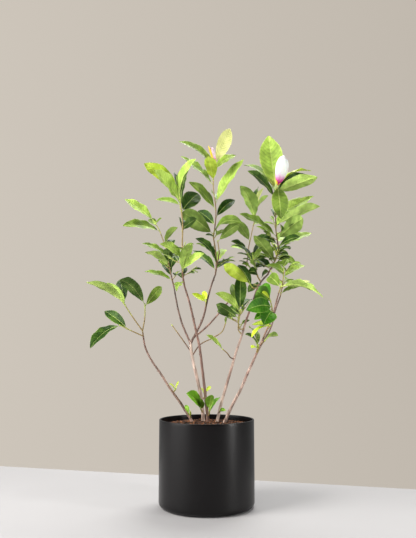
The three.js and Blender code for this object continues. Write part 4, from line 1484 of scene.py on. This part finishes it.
@dataclass
class Foliage:
    """The leaves: every one with its rib, side veins, quilted blade, wavy margin and stalk."""

    growth: Growth
    slimness: Pair = (0.37, 0.04)
    arch: Pair = (0.07, 0.05)
    petiole: float = 0.08
    stalk_radii: Triple = (1.5, 0.99, 0.81)
    fold: float = 18.0
    widest: float = 0.6
    thickness: float = 0.5
    # Leaves up to each length have so many veins to a side.
    veins: tuple[tuple[float, int], ...] = ((50.0, 5), (90.0, 7), (125.0, 9), (math.inf, 12))
    vein_width: float = 0.9
    vein_stretch: Pair = (0.05, 0.8745)
    tip_row: float = 0.965
    rib_half: Pair = (1.25, 0.4)
    rib_most: float = 0.4
    ridge: float = 1.5
    groove: float = 0.35
    cup: float = 1.35
    vein_lean: float = 0.17
    cells_between: int = 3
    columns: tuple[float, ...] = (0.3, 0.62, 0.93, 1.0)
    quilt: float = 0.42
    quilt_from: float = 8.0
    scallop: float = 0.035
    full_length: float = 130.0
    crease_shade_from: float = 100.0
    wave: float = 0.015
    wave_height: Pair = (1.0, 0.5)
    waves: Pair = (2.6, 0.7)
    more_waves: float = 0.4
    crinkle: float = 0.2
    crinkles: float = 2.7
    settle_within: float = 0.8
    aside: tuple[Point, ...] = (
        (0, 0, 0), (7, 0, 0), (-7, 0, 0), (0, 7, 0), (0, -7, 0), (0, 0, 16), (0, 0, -16), (14, 0, 0),
        (-14, 0, 0), (0, 14, 0), (0, -14, 0), (12, 12, 0), (-12, 12, 0), (12, -12, 0), (-12, -12, 0),
        (22, 0, 0), (-22, 0, 0), (0, 22, 0), (0, -22, 0), (22, 14, 16), (-22, 14, -16), (22, -14, -16),
        (-22, -14, 16),
    )
    blades: dict[Tint, list[tuple[Blade, int]]] = field(default_factory=dict)
    masses: dict[Tint, set[str]] = field(default_factory=dict)

    def settle(self) -> None:
        """Turns each leaf aside as its solid has turned, and drops those that the solid hasn't."""
        for m, mass in enumerate(self.growth.masses):
            corners = self.solid_corners(mass.name)
            for t, twig in enumerate(mass.twigs):
                for k, leaf in enumerate(twig.leaves):
                    seed = 100 * m + 10 * t + k
                    foot = self.growth.routes[mass.name, t].at(leaf.percent / 100)
                    if twig.fine:
                        self.add_fine(mass.name, leaf, foot, seed)
                        continue
                    blade = self.settle_leaf(leaf, foot, seed, corners)
                    if blade is None:
                        log.warning("%s: leaf %d of twig %d has no solid", mass.name, k, t)
                        continue
                    blade = replace(blade, width=blade.width * leaf.slim)
                    self.blades.setdefault(leaf.tint, []).append((blade, seed))
                    self.masses.setdefault(leaf.tint, set()).add(mass.name)

    def add_fine(self, name: str, leaf: Leaf, foot: np.ndarray, seed: int) -> None:
        """Keeps a finer twig's leaf where it has room.

        Args:
            name: The tuft that it is in.
            leaf: Its row.
            foot: Where its stalk starts.
            seed: The number of its draws.
        """
        width = leaf.length * vary(*self.slimness, seed, 1)
        blade = Blade.placed(leaf, foot, (0, 0, 0), width, vary(*self.arch, seed, 2))
        if self.growth.has_room(name, blade.rib(np.array(self.growth.room_marks))[0]):
            self.blades.setdefault(leaf.tint, []).append((blade, seed))
            self.masses.setdefault(leaf.tint, set()).add(name)

    def solid_corners(self, name: str) -> KDTree:
        """The corners of a tuft's solid.

        Args:
            name: The tuft.

        Returns:
            The corners in millimetres, ready to be searched.
        """
        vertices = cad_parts[name].data.vertices
        corners = KDTree(len(vertices))
        for vertex in vertices:
            corners.insert(vertex.co / MM, vertex.index)
        corners.balance()
        return corners

    def settle_leaf(self, leaf: Leaf, foot: np.ndarray, seed: int, corners: KDTree) -> Blade | None:
        """Finds how one leaf stands.

        Args:
            leaf: Its row.
            foot: Where its stalk starts.
            seed: The number of its draws.
            corners: The corners of its tuft's solid.

        Returns:
            The leaf in place, or nothing where the solid has none.
        """
        width = leaf.width or leaf.length * vary(*self.slimness, seed, 1)
        arch = vary(*self.arch, seed, 2) if leaf.arch is None else leaf.arch
        best = (self.settle_within, None)
        for aside in self.aside:
            blade = Blade.placed(leaf, foot, aside, width, arch)
            miss = max(corners.find(point)[2] for point in self.marks(blade))
            if miss < best[0]:
                best = (miss, blade)
        return best[1]

    def marks(self, blade: Blade) -> list[np.ndarray]:
        """Three corners that a leaf's solid has.

        Args:
            blade: The leaf in place.

        Returns:
            Its tip and both its sides where it is widest.
        """
        half = blade.width * half_width(np.array(self.widest))
        fold = math.radians(self.fold)
        tip = blade.rib(np.array(1.0))[0]
        place, normal, across = blade.rib(np.array(self.petiole + (1 - self.petiole) * self.widest))
        lifted = place + normal * half * math.sin(fold)
        return [tip, lifted + across * half * math.cos(fold), lifted - across * half * math.cos(fold)]

    def build(self) -> dict[Tint, Piece]:
        """Makes the leaves of each tint.

        Returns:
            One object for each tint.
        """
        self.settle()
        pieces = {}
        for tint, blades in self.blades.items():
            draft = MeshDraft(f"leaves_{tint.value}")
            for blade, seed in blades:
                self.add_stalk(draft, blade)
                self.add_blade(draft, blade, seed)
            draft.keep_within(solid_box)
            pieces[tint] = draft.build()
        return pieces

    def rows(self, length: float) -> tuple[np.ndarray, np.ndarray, np.ndarray]:
        """The blade's rows, closer at each side vein.

        Args:
            length: The leaf's length.

        Returns:
            Where the rows start at the rib, how far each lies between two veins, and True for each
            strip between rows that is a vein.
        """
        veins = next(count for longest, count in self.veins if length < longest)
        vein = self.vein_width / length
        starts = np.linspace(*self.vein_stretch, veins)
        rows, between, is_vein = [0.008, 0.026], [0.0, 0.5], [False, False]
        for k, start in enumerate(starts):
            end = starts[k + 1] if k + 1 < veins else self.tip_row
            rows.append(start)
            between.append(0.0)
            is_vein.append(True)
            for step in range(self.cells_between):
                share = step / self.cells_between
                rows.append(start + vein + (end - start - vein) * share)
                between.append(share)
                is_vein.append(False)
        rows.extend((self.tip_row, 0.993))
        between.extend((0.0, 0.0))
        is_vein.append(False)
        return np.array(rows), np.array(between), np.array(is_vein)

    def add_blade(self, draft: MeshDraft, blade: Blade, seed: int) -> None:
        """Adds one leaf's blade.

        Args:
            draft: The mesh that it joins.
            blade: The leaf in place.
            seed: The number of its draws.
        """
        rows, between, is_vein = self.rows(blade.length)
        reach = np.array((*(-c for c in reversed(self.columns)), 0.0, 0.0, 0.0, *self.columns))
        side = np.sign(np.arange(len(reach)) - len(reach) // 2)
        lean = self.vein_lean * 4 * rows * (1 - rows)
        shares = rows[:, None] + lean[:, None] * np.abs(reach) ** 1.2
        shares[-1] = shares[-1] + (1 - shares[-1]) * (1 - np.abs(reach))
        half = blade.width * half_width(np.minimum(shares, 0.9985))
        half = half * (1 + self.scallop * np.sin(math.pi * between)[:, None] * np.abs(reach) ** 5)
        foot, tip = self.rib_half
        rib = np.minimum(foot + (tip - foot) * shares, half * self.rib_most)
        edge = rib / half
        out = np.where(side == 0, 0.0, edge + (1 - edge) * np.abs(reach))
        place, normal, across = blade.rib(self.petiole + (1 - self.petiole) * shares)
        fold = math.radians(self.fold)
        lift = half * math.sin(fold) * out**self.cup
        lift = lift + self.ripple(blade, shares, out, side, seed)
        quilt = self.quilt * min(1.0, blade.length / self.full_length)
        quilt = quilt * np.minimum(1, half / self.quilt_from)
        lift = lift + quilt * np.sin(math.pi * between)[:, None] * (1 - out**4)
        middle = place + across * (half * out * side * math.cos(fold))[..., None]
        ridge = np.where(side == 0, self.ridge * rib, 0.0)
        groove = np.where(side == 0, self.groove * rib, 0.0)
        front = middle + normal * (lift + self.thickness / 2 * (out < 1) - groove)[..., None]
        back = middle + normal * (lift - self.thickness / 2 - ridge)[..., None]
        dealt = np.where(is_vein[:, None], LeafFace.SIDE_VEIN.value, LeafFace.BLADE.value)
        # On longer leaves the cells just before each side vein are painted shade, darker as a pleat's
        # hollow.
        if blade.length > self.crease_shade_from:
            dealt[:-1][is_vein[1:]] = LeafFace.CREASE.value
        dealt = np.repeat(dealt, len(reach) - 1, axis=1)
        # The outer cells are the paler margin, a painted rim of light.
        dealt[:, [0, -1]] = LeafFace.MARGIN.value
        centre = len(reach) // 2
        dealt[:, centre - 1:centre + 1] = LeafFace.MIDRIB.value
        under = np.full(dealt.shape, LeafFace.UNDERSIDE.value)
        under[:, centre - 1:centre + 1] = LeafFace.MIDRIB.value
        draft.add_shell(front * MM, back * MM, dealt, under)

    def ripple(self, blade: Blade, shares: np.ndarray, out: np.ndarray, side: np.ndarray,
               seed: int) -> np.ndarray:
        """How far a leaf's margin waves up and down.

        Args:
            blade: The leaf in place.
            shares: Each corner's share of the blade's length.
            out: Each corner's share of the half width.
            side: -1, 0 or 1 for the side of the rib.
            seed: The number of the leaf's draws.

        Returns:
            The wave's height at each corner, in millimetres.
        """
        height = blade.length * self.wave * min(1.0, blade.length / self.full_length)
        height *= vary(*self.wave_height, seed, 11)
        waves = vary(*self.waves, seed, 12) + self.more_waves * side
        start = vary(0.5, 0.5, seed, 13) + np.where(side > 0, vary(0.5, 0.3, seed, 14), 0.0)
        swing = np.sin(2 * math.pi * (waves * shares + start))
        fine = self.crinkles * waves * shares + 3 * start
        swing = swing + self.crinkle * np.sin(2 * math.pi * fine)
        return height * swing * out**2.2 * np.sin(math.pi * np.clip(shares, 0.02, 0.98)) ** 0.6

    def add_stalk(self, draft: MeshDraft, blade: Blade) -> None:
        """Adds a leaf's stalk, from the middle of its twig into the blade's foot.

        Args:
            draft: The mesh that it joins.
            blade: The leaf in place.
        """
        shares = np.linspace(0.0, self.petiole + 0.012, 6)
        radii = np.interp(shares, (0.0, self.petiole * 0.35, shares[-1]), self.stalk_radii)
        line = blade.rib(shares)[0]
        draft.add_tube(line * MM, np.repeat(radii[:, None], 8, axis=1) * MM, LeafFace.MIDRIB.value)

    def dress(self, pieces: dict[Tint, Piece], finishes: dict[Tint, LeafFinish]) -> None:
        """Gives each tint its finishes and seats it.

        Args:
            pieces: The leaves of each tint.
            finishes: The finish of each tint.
        """
        for tint, piece in pieces.items():
            for face in LeafFace:
                name = f"leaf_{tint.value}_{face.name.lower()}"
                piece.data.materials.append(finishes[tint].material(name, face))
            seat(piece, sorted(self.masses[tint]))


def half_width(shares: np.ndarray) -> np.ndarray:
    """A leaf's half width at shares of its blade, where the whole is 1: widest past its middle."""
    drawn = 1 - 0.35 * np.maximum(0.0, (shares - 0.75) / 0.25) ** 2
    return shares**0.8 * (1 - shares) ** 0.75 / 0.3416 / 2 * drawn


@dataclass
class Blossom:
    """The closed flowers: two rounds of petals wrapped to a point, over small bracts."""

    growth: Growth
    # The width and height of each round as shares of the flower's, and where its first petal faces.
    rounds: tuple[Triple, ...] = ((0.9, 0.95, 60.0), (1.0, 0.965, 0.0))
    petals: int = 3
    shorter: float = 0.05
    wrap: float = 84.0
    swirl: float = 10.0
    closing: float = 0.35
    overlap: Pair = (0.05, 0.03)
    rows: int = 18
    columns: int = 11
    tips: Pair = (0.9995, 0.988)
    thickness: float = 0.7
    fit: float = 0.95
    bands: int = 9
    pale_from: float = 0.07
    pale_over: float = 0.34
    streak: float = 0.08
    bract_rows: int = 10
    bract_columns: int = 7
    bract_wrap: float = 40.0
    bract_off: Pair = (0.8, 1.4)
    bract_least: float = 1.6
    shades: ShadeRun = ShadeRun(Shade(226, 0, 140), Shade(248, 190, 230), Shade(255, 252, 254), 0.55)
    bract: Shade = Shade(240, 196, 40)

    def build(self) -> list[Piece]:
        """Makes the petals of all the flowers and their bracts.

        Returns:
            The petals' object and the bracts' object.
        """
        petals = MeshDraft("flower_petals")
        bracts = MeshDraft("flower_bracts")
        for mass in self.growth.masses:
            if mass.bloom is not None:
                self.add_flower(petals, bracts, mass)
        return [petals.build(), bracts.build()]

    def add_flower(self, petals: MeshDraft, bracts: MeshDraft, mass: Mass) -> None:
        """Adds one flower.

        Args:
            petals: The mesh of petals.
            bracts: The mesh of bracts.
            mass: The tuft with the flower.
        """
        bloom = mass.bloom
        foot = self.growth.routes[mass.name, 0].at(bloom.at / 100)
        along, up = heading(bloom.bearing, bloom.rise)
        across = np.cross(along, up)
        axes = np.stack((across, up, along))
        for ring, (scale, reach, first) in enumerate(self.rounds):
            for k in range(self.petals):
                turn = first + 360 / self.petals * k
                self.add_petal(petals, foot, axes, bloom, turn, scale, reach - self.shorter * k, ring)
        for turn, length in bloom.bracts:
            self.add_bract(bracts, foot, axes, bloom, turn, length)

    def outline(self, shares: np.ndarray) -> np.ndarray:
        """The closed flower's radius at shares of its height, where its greatest is 1."""
        return shares**0.75 * (1 - shares) ** 0.42 / 0.466

    def add_petal(self, draft: MeshDraft, foot: np.ndarray, axes: np.ndarray, bloom: Bloom, turn: float,
                  scale: float, reach: float, ring: int) -> None:
        """Adds one petal, wrapped round the flower's axis, one edge over its neighbour.

        Args:
            draft: The mesh that it joins.
            foot: The flower's foot.
            axes: Two directions across the flower and the one along it.
            bloom: The flower's row.
            turn: Which way the petal faces, in degrees.
            scale: Its distance from the axis, as a share of the outer petals'.
            reach: Its height, as a share of the flower's.
            ring: 0 for the inner round and 1 for the outer.
        """
        shares = np.linspace(0.012, self.tips[ring], self.rows)
        sides = np.linspace(-1.0, 1.0, self.columns)
        spread = self.wrap * np.minimum(1.0, (shares / 0.12) ** 0.5) * (1 - self.closing * ring * shares**3)
        angle = np.radians(turn + spread[:, None] * sides + self.swirl * shares[:, None])
        tuck = 1 + self.overlap[0] * sides - self.overlap[1] * np.abs(sides) ** 3
        height = shares[:, None] * (1 - 0.05 * np.abs(sides) ** 2 * shares[:, None] ** 4) * reach
        radius = bloom.width / 2 * scale * self.outline(shares)[:, None] * tuck * self.fit
        radius = radius * (1 + 0.02 * np.sin(5 * sides + turn) * shares[:, None])
        tall = height * bloom.length
        front = self.round_axis(foot, axes, radius, angle, tall)
        back = self.round_axis(foot, axes, np.maximum(radius - self.thickness, 0.1), angle, tall)
        pale = np.clip((height / reach - self.pale_from) / self.pale_over, 0, 1)[:-1, :-1]
        pale = pale * (1 - bloom.flush)
        streak = self.streak * np.cos(3 * sides * math.pi)[:-1] * (ring + 0.5)
        dealt = np.rint(np.clip(pale + streak * (1 - pale), 0, 1) * (self.bands - 1)).astype(int)
        draft.add_shell(front * MM, back * MM, dealt, dealt)

    def round_axis(self, foot: np.ndarray, axes: np.ndarray, radius: np.ndarray, angle: np.ndarray,
                   height: np.ndarray) -> np.ndarray:
        """Points at distances, angles and heights round a flower's axis."""
        parts = np.stack((radius * np.cos(angle), radius * np.sin(angle), height), -1)
        return foot + parts @ axes

    def add_bract(self, draft: MeshDraft, foot: np.ndarray, axes: np.ndarray, bloom: Bloom, turn: float,
                  length: float) -> None:
        """Adds one small pointed bract at a flower's foot.

        Args:
            draft: The mesh that it joins.
            foot: The flower's foot.
            axes: Two directions across the flower and the one along it.
            bloom: The flower's row.
            turn: Which way the bract faces, in degrees.
            length: How long it is.
        """
        shares = np.linspace(0.02, 0.98, self.bract_rows)
        sides = np.linspace(-1.0, 1.0, self.bract_columns)
        width = np.radians(self.bract_wrap) * np.sin(math.pi * shares) ** 0.7
        angle = math.radians(turn) + width[:, None] * sides
        swell = bloom.width / 2 * self.outline(np.clip(shares * length / bloom.length, 0.0, 0.6))
        radius = np.maximum(swell, self.bract_least)[:, None] * np.ones_like(sides)
        height = np.repeat((shares * length)[:, None], len(sides), axis=1)
        back, front = (self.round_axis(foot, axes, radius + off, angle, height) for off in self.bract_off)
        draft.add_shell(front * MM, back * MM, 0, 0)

    def dress(self, pieces: list[Piece]) -> None:
        """Gives the petals and bracts their finishes and seats them.

        Args:
            pieces: The petals' object and the bracts' object.
        """
        petals, bracts = pieces
        for k in range(self.bands):
            shade = self.shades.at(k / (self.bands - 1))
            petals.data.materials.append(PetalFinish(shade).material(f"petal_{k}"))
        bracts.data.materials.append(PetalFinish(self.bract).material("bract"))
        names = [mass.name for mass in self.growth.masses if mass.bloom is not None]
        seat(petals, names)
        seat(bracts, names)


@dataclass
class Pot:
    """The round pot, with a rounded foot and rim."""

    diameter: float = 284.0
    height: float = 253.0
    wall: float = 5.0
    floor: float = 8.0
    foot_round: float = 17.0
    rim_round: float = 1.6
    sides: int = 192
    glaze: CloudyFinish = CloudyFinish(
        Shade(9, 7, 8), 14.0, 4.0, ((0.35, 0.88), (0.65, 1.12)), (0.28, 0.35), 0.27,
        grains=((2200.0, 0.035), (60.0, 0.06)))

    def build(self) -> Piece:
        """Makes the pot.

        Returns:
            Its object.
        """
        outer = self.diameter / 2
        inner = outer - self.wall
        foot, rim = self.foot_round, self.rim_round
        inside = foot - self.wall
        profile = [
            (0.0, 0.0), (outer * 0.4, 0.0), *arc(outer - foot, foot, foot, -90, 0, 14),
            *((outer, z) for z in np.linspace(foot + 14, self.height - rim - 8, 12)),
            *arc(outer - rim, self.height - rim, rim, 0, 90, 5),
            *arc(inner + rim, self.height - rim, rim, 90, 180, 5),
            *((inner, z) for z in np.linspace(self.height - rim - 8, self.floor + foot + 8, 10)),
            *arc(inner - inside, self.floor + inside, inside, 0, -90, 8), (0.0, self.floor),
        ]
        draft = MeshDraft("glazed_pot")
        add_turned(draft, profile, self.sides)
        return draft.build()

    def dress(self, piece: Piece) -> None:
        """Glazes the pot and seats it."""
        piece.data.materials.append(self.glaze.material("black_glaze"))
        seat(piece, ["pot"])


def arc(centre: float, level: float, radius: float, start: float, end: float,
        steps: int) -> list[Pair]:
    """Points of a rounded corner, from one angle in degrees to another, for a turned outline."""
    turns = np.radians(np.linspace(start, end, steps + 1))
    return [(float(centre + radius * math.cos(a)), float(level + radius * math.sin(a))) for a in turns]


def add_turned(draft: MeshDraft, profile: Sequence[Pair], sides: int) -> None:
    """Adds an outline turned round the upright axis.

    Args:
        draft: The mesh that it joins.
        profile: The outline from the axis and back to it, in millimetres.
        sides: How many corners each ring has.
    """
    radius, level = np.array(profile[1:-1]).T[..., None]
    turns = turns_of(sides)
    rings = np.stack(np.broadcast_arrays(radius * np.cos(turns), radius * np.sin(turns), level), -1)
    ends = np.array([(0.0, 0.0, profile[end][1]) for end in (0, -1)])
    draft.add_rings(rings * MM, ends * MM, 0)


# A box's corners are counted along X, then Y, then Z.
BOX_FACES = np.array(((0, 2, 3, 1), (4, 5, 7, 6), (0, 1, 5, 4), (2, 6, 7, 3), (0, 4, 6, 2), (1, 3, 7, 5)))


@dataclass
class Soil:
    """Compost that fills the pot, under a scatter of bark chips."""

    radius: float = 136.7
    bottom: float = 8.3
    top: float = 240.0
    shelf: float = 92.0
    fall: float = 5.0
    sunk: float = 1.2
    lumps: float = 1.6
    lump_scale: float = 0.06
    crumbs: float = 1.1
    crumb_scale: float = 0.25
    foot_round: float = 12.0
    rings: int = 46
    sides: int = 144
    chips: int = 1700
    chip_edge: float = 5.0
    # Half the length, width and thickness, each with its spread.
    chip_sizes: Pairs = ((3.8, 2.2), (1.9, 0.9), (1.1, 0.5))
    chip_lift: float = 0.6
    chip_tilt: float = 0.5
    chip_uneven: Pair = (1.0, 0.35)
    compost: CloudyFinish = CloudyFinish(
        Shade(38, 25, 19), 380.0, 5.0, ((0.3, 0.45), (0.55, 1.0), (0.75, 1.5)), (0.85, 1.0), cloud_depth=1.2)
    barks: tuple[Shade, ...] = (Shade(142, 90, 56), Shade(86, 54, 38), Shade(36, 24, 19))
    bark_grain: float = 700.0

    def level(self, x: float, y: float) -> float:
        """The height of the soil.

        Args:
            x: The place to the right of the pot's middle, in millimetres.
            y: The place behind it.

        Returns:
            The height, in millimetres.
        """
        r = math.hypot(x, y)
        slope = self.fall * max(0.0, (r - self.shelf) / (self.radius - self.shelf))
        lumps = self.lumps * noise.noise(Vector((x * self.lump_scale, y * self.lump_scale, 0.3)))
        crumbs = self.crumbs * noise.noise(Vector((x * self.crumb_scale, y * self.crumb_scale, 4.1)))
        return self.top - self.sunk - slope + lumps + crumbs

    def build(self) -> list[Piece]:
        """Makes the soil and the chips.

        Returns:
            The two objects.
        """
        draft = MeshDraft("compost")
        add_turned(draft, self.profile(), self.sides)
        compost = draft.build()
        for vertex in compost.data.vertices:
            if vertex.co.z > (self.top - self.fall - 1) * MM:
                vertex.co.z = self.level(vertex.co.x / MM, vertex.co.y / MM) * MM
        return [compost, self.build_chips()]

    def profile(self) -> list[Pair]:
        """The outline of the soil before its top is roughened.

        Returns:
            The outline's points, from the axis and back to it.
        """
        edge, foot = self.top - self.fall, self.foot_round
        return [
            (0.0, self.bottom), (60.0, self.bottom),
            *arc(self.radius - foot, self.bottom + foot, foot, -90, 0, 6),
            *((self.radius, z) for z in (100.0, 200.0, edge)),
            *((self.radius * (1 - k / self.rings), self.top) for k in range(1, self.rings)),
            (0.0, self.top),
        ]

    def build_chips(self) -> Piece:
        """Makes the chips: flat splinters with uneven corners, lying as they fell.

        Returns:
            Their object.
        """
        draft = MeshDraft("bark_chips")
        corners = np.array([(x, y, z) for z in (-1, 1) for y in (-1, 1) for x in (-1, 1)], float)
        for k in range(self.chips):
            distance = (self.radius - self.chip_edge) * math.sqrt(chance(k, 1))
            around = 2 * math.pi * chance(k, 2)
            x, y = distance * math.cos(around), distance * math.sin(around)
            size = np.array([vary(*size, k, 3 + axis) for axis, size in enumerate(self.chip_sizes)])
            uneven = [[vary(*self.chip_uneven, k, 10 + 3 * c + d) for d in range(3)] for c in range(8)]
            turn = Matrix.Rotation(2 * math.pi * chance(k, 6), 3, "Z")
            tilt = Matrix.Rotation(vary(0.0, -self.chip_tilt, k, 7), 3, "Y")
            place = np.array((x, y, self.level(x, y) + self.chip_lift))
            fallen = (corners * size * uneven) @ np.array(turn @ tilt).T + place
            draft.add(fallen * MM, ((BOX_FACES, k % len(self.barks)),))
        chips = draft.build()
        chips.data.polygons.foreach_set("use_smooth", np.zeros(len(chips.data.polygons), bool))
        return chips

    def dress(self, pieces: list[Piece]) -> None:
        """Gives soil and chips their finishes and seats them.

        Args:
            pieces: The soil's object and the chips' object.
        """
        compost, chips = pieces
        compost.data.materials.append(self.compost.material("compost"))
        for k, shade in enumerate(self.barks):
            bark = replace(self.compost, shade=shade, clouds=self.bark_grain)
            chips.data.materials.append(bark.material(f"chip_{k}"))
        seat(compost, ["soil"])
        seat(chips, ["soil"])


@dataclass(frozen=True)
class Panel:
    """A soft panel of light: its middle, the point that it faces, its size, its power and its colour."""

    name: str
    place: Point
    aim: Point
    size: Pair
    watts: float
    colour: Triple

    def build(self) -> None:
        """Makes the light."""
        light = bpy.data.lights.new(self.name, "AREA")
        light.shape = "RECTANGLE"
        light.size, light.size_y = self.size
        light.energy = self.watts
        light.color = self.colour
        piece = bpy.data.objects.new(self.name, light)
        piece.location = self.place
        piece.rotation_euler = (Vector(self.aim) - Vector(self.place)).to_track_quat("-Z", "Y").to_euler()
        piece.visible_camera = False
        bpy.context.scene.collection.objects.link(piece)


@dataclass
class Studio:
    """The floor, the light, the wall's colour and the camera."""

    photo: tuple[int, int] = (416, 538)
    focal_pixels: float = 642.0
    camera_place: Point = (0.004, -1.969, 0.463)
    camera_tilt: float = 7.05
    film: float = 36.0
    floor_back: Pairs = ((-0.821, 0.654), (0.681, 0.235))
    floor_aside: float = 4.0
    floor_depth: float = 7.0
    floor_levels: Pair = (-0.0044, -0.0004)
    floor_paint: CloudyFinish = CloudyFinish(
        Shade(180, 178, 180), 5.0, 3.0, ((0.3, 0.985), (0.7, 1.01)), (0.6, 0.7), 0.2)
    # The wall darkens from left to right: painted shade, as the light falls off across it.
    wall_left: Shade = Shade(205, 197, 186)
    wall_right: Shade = Shade(193, 185, 174)
    wall_spread: Pair = (-0.31, 0.31)
    room: Shade = Shade(250, 250, 248)
    room_spread: Pair = (-0.92, 0.0)
    room_light: Pair = (0.0304, 0.38)
    panels: tuple[Panel, ...] = (
        Panel("key", (-2.2, -1.25, 2.35), (0.0, 0.0, 0.55), (1.5, 1.5), 108.0, (1.0, 0.985, 0.94)),
        Panel("front", (-0.8, -2.7, 1.75), (0.0, 0.0, 0.75), (1.1, 1.1), 14.0, (1.0, 0.99, 0.95)),
        Panel("side", (2.2, -1.2, 0.78), (0.0, 0.0, 0.3), (0.3, 1.5), 34.0, (1.0, 0.99, 0.97)),
        Panel("left", (-2.6, -1.1, 0.75), (0.0, 0.0, 0.2), (2.4, 1.3), 42.0, (1.0, 0.99, 0.98)),
        Panel("top", (0.5, 1.3, 2.7), (0.0, 0.0, 0.8), (1.4, 1.4), 66.0, (1.0, 1.0, 0.96)),
    )

    def build(self) -> None:
        """Makes the floor, the lights, the world and the camera."""
        self.build_floor()
        self.build_world()
        self.build_camera()
        for panel in self.panels:
            panel.build()
        bpy.context.scene.view_settings.view_transform = "Standard"

    def build_floor(self) -> None:
        """Makes the floor, whose back edge is the line where the wall meets it."""
        left, right = (np.array((*end, 0.0)) for end in self.floor_back)
        aside = unit(right - left)
        forward = np.array((aside[1], -aside[0], 0.0))
        corners = np.array([
            (left + right) / 2 + aside * x + forward * y + np.array((0.0, 0.0, z))
            for z in self.floor_levels
            for y in (self.floor_depth, 0.0)
            for x in (-self.floor_aside, self.floor_aside)])
        draft = MeshDraft("studio_floor")
        draft.add(corners, ((BOX_FACES, 0),))
        floor = draft.build()
        floor.data.polygons.foreach_set("use_smooth", np.zeros(6, bool))
        floor.data.materials.append(self.floor_paint.material("matt_floor"))
        floor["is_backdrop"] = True

    def build_world(self) -> None:
        """Makes the wall's colour behind everything, and a dimmer even light from all sides."""
        world = bpy.data.worlds.new("studio")
        world.use_nodes = True
        nodes = Nodes(world.node_tree)
        wall, end = (world.node_tree.nodes[name] for name in ("Background", "World Output"))
        towards = nodes.add("TexCoord").outputs["Generated"]
        aside, back, _ = nodes.add("SeparateXYZ", {"Vector": towards}).outputs
        across = nodes.spread(aside, self.wall_spread, (0.0, 1.0))
        ends = ((0.0, self.wall_left.paint()), (1.0, self.wall_right.paint()))
        nodes.feed(wall, {"Color": nodes.ramp(across, ends)})
        strength = nodes.spread(back, self.room_spread, self.room_light)
        room = nodes.add("Background", {"Color": self.room.paint(), "Strength": strength})
        seen = nodes.add("LightPath").outputs["Is Camera Ray"]
        both = nodes.add("MixShader", {"Fac": seen, 1: room.outputs[0], 2: wall.outputs[0]})
        nodes.feed(end, {"Surface": both.outputs["Shader"]})
        bpy.context.scene.world = world

    def build_camera(self) -> None:
        """Makes the camera, at the photograph's place and angle."""
        camera = bpy.data.cameras.new("camera")
        camera.sensor_width = self.film
        camera.lens = self.focal_pixels / max(self.photo) * self.film
        piece = bpy.data.objects.new("camera", camera)
        piece.location = self.camera_place
        piece.rotation_euler = (math.radians(90 + self.camera_tilt), 0.0, 0.0)
        bpy.context.scene.collection.objects.link(piece)
        bpy.context.scene.camera = piece


UNDERGROWTH = (
    Undergrowth("thicket_left", 6, 48.0, (D, M, D)),
    Undergrowth("thicket_right", 7, 50.0, (D, M, D, D)),
    Undergrowth("crown_low_tuft", 4, 46.0, (D, M)),
    Undergrowth("inner_left_tuft", 3, 40.0, (D, M)),
    Undergrowth("inner_back_tuft", 3, 44.0, (D, M)),
    Undergrowth("right_back_tuft", 3, 40.0, (M, L)),
    Undergrowth("back_left_tuft", 3, 36.0, (D, M)),
    Undergrowth("middle_low_tuft", 3, 36.0, (D, M)),
    Undergrowth("centre_low_tuft", 3, 36.0, (D, M)),
)

# Each tint is partly the leaves' own green and partly painted light: the dark tint is made darker as painted
# shade, and the pale tint is a painted glow of light shining through the leaf.
LEAF_FINISHES = {
    Tint.DARK: LeafFinish(Shade(36, 70, 6), 0.5, specular=0.16),
    Tint.MIDDLE: LeafFinish(Shade(112, 142, 46), 0.52),
    Tint.LIGHT: LeafFinish(Shade(166, 198, 82), 0.54),
    Tint.YELLOW: LeafFinish(Shade(206, 232, 50), 0.54),
    Tint.PALE: LeafFinish(Shade(252, 255, 164), 0.56, patch_dark_and_shaded=0.86),
    Tint.BRIGHT: LeafFinish(Shade(56, 120, 4), 0.5),
    Tint.FRESH: LeafFinish(Shade(108, 168, 22), 0.5),
}


def write_sizes() -> None:
    """Works out the box of the solids and the box of the dressed plant."""
    boxes = {"cad": solid_box, "visual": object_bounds()}
    rows = {name: [list(corner) for corner in box] for name, box in boxes.items()}


def main() -> None:
    """Builds and dresses the plant from the pot up, then the studio."""
    logging.basicConfig(level=logging.INFO, format="%(name)s: %(message)s")
    growth = Growth(LIMBS, MASSES, UNDERGROWTH)
    growth.trace()
    pot = Pot()
    pot.dress(pot.build())
    soil = Soil()
    soil.dress(soil.build())
    wood = Wood(growth)
    wood.dress(wood.build())
    shoots = Shoots(growth)
    shoots.dress(shoots.build())
    foliage = Foliage(growth)
    foliage.dress(foliage.build(), LEAF_FINISHES)
    blossom = Blossom(growth)
    blossom.dress(blossom.build())
    Studio().build()
    write_sizes()


if __name__ == "__main__":
    main()
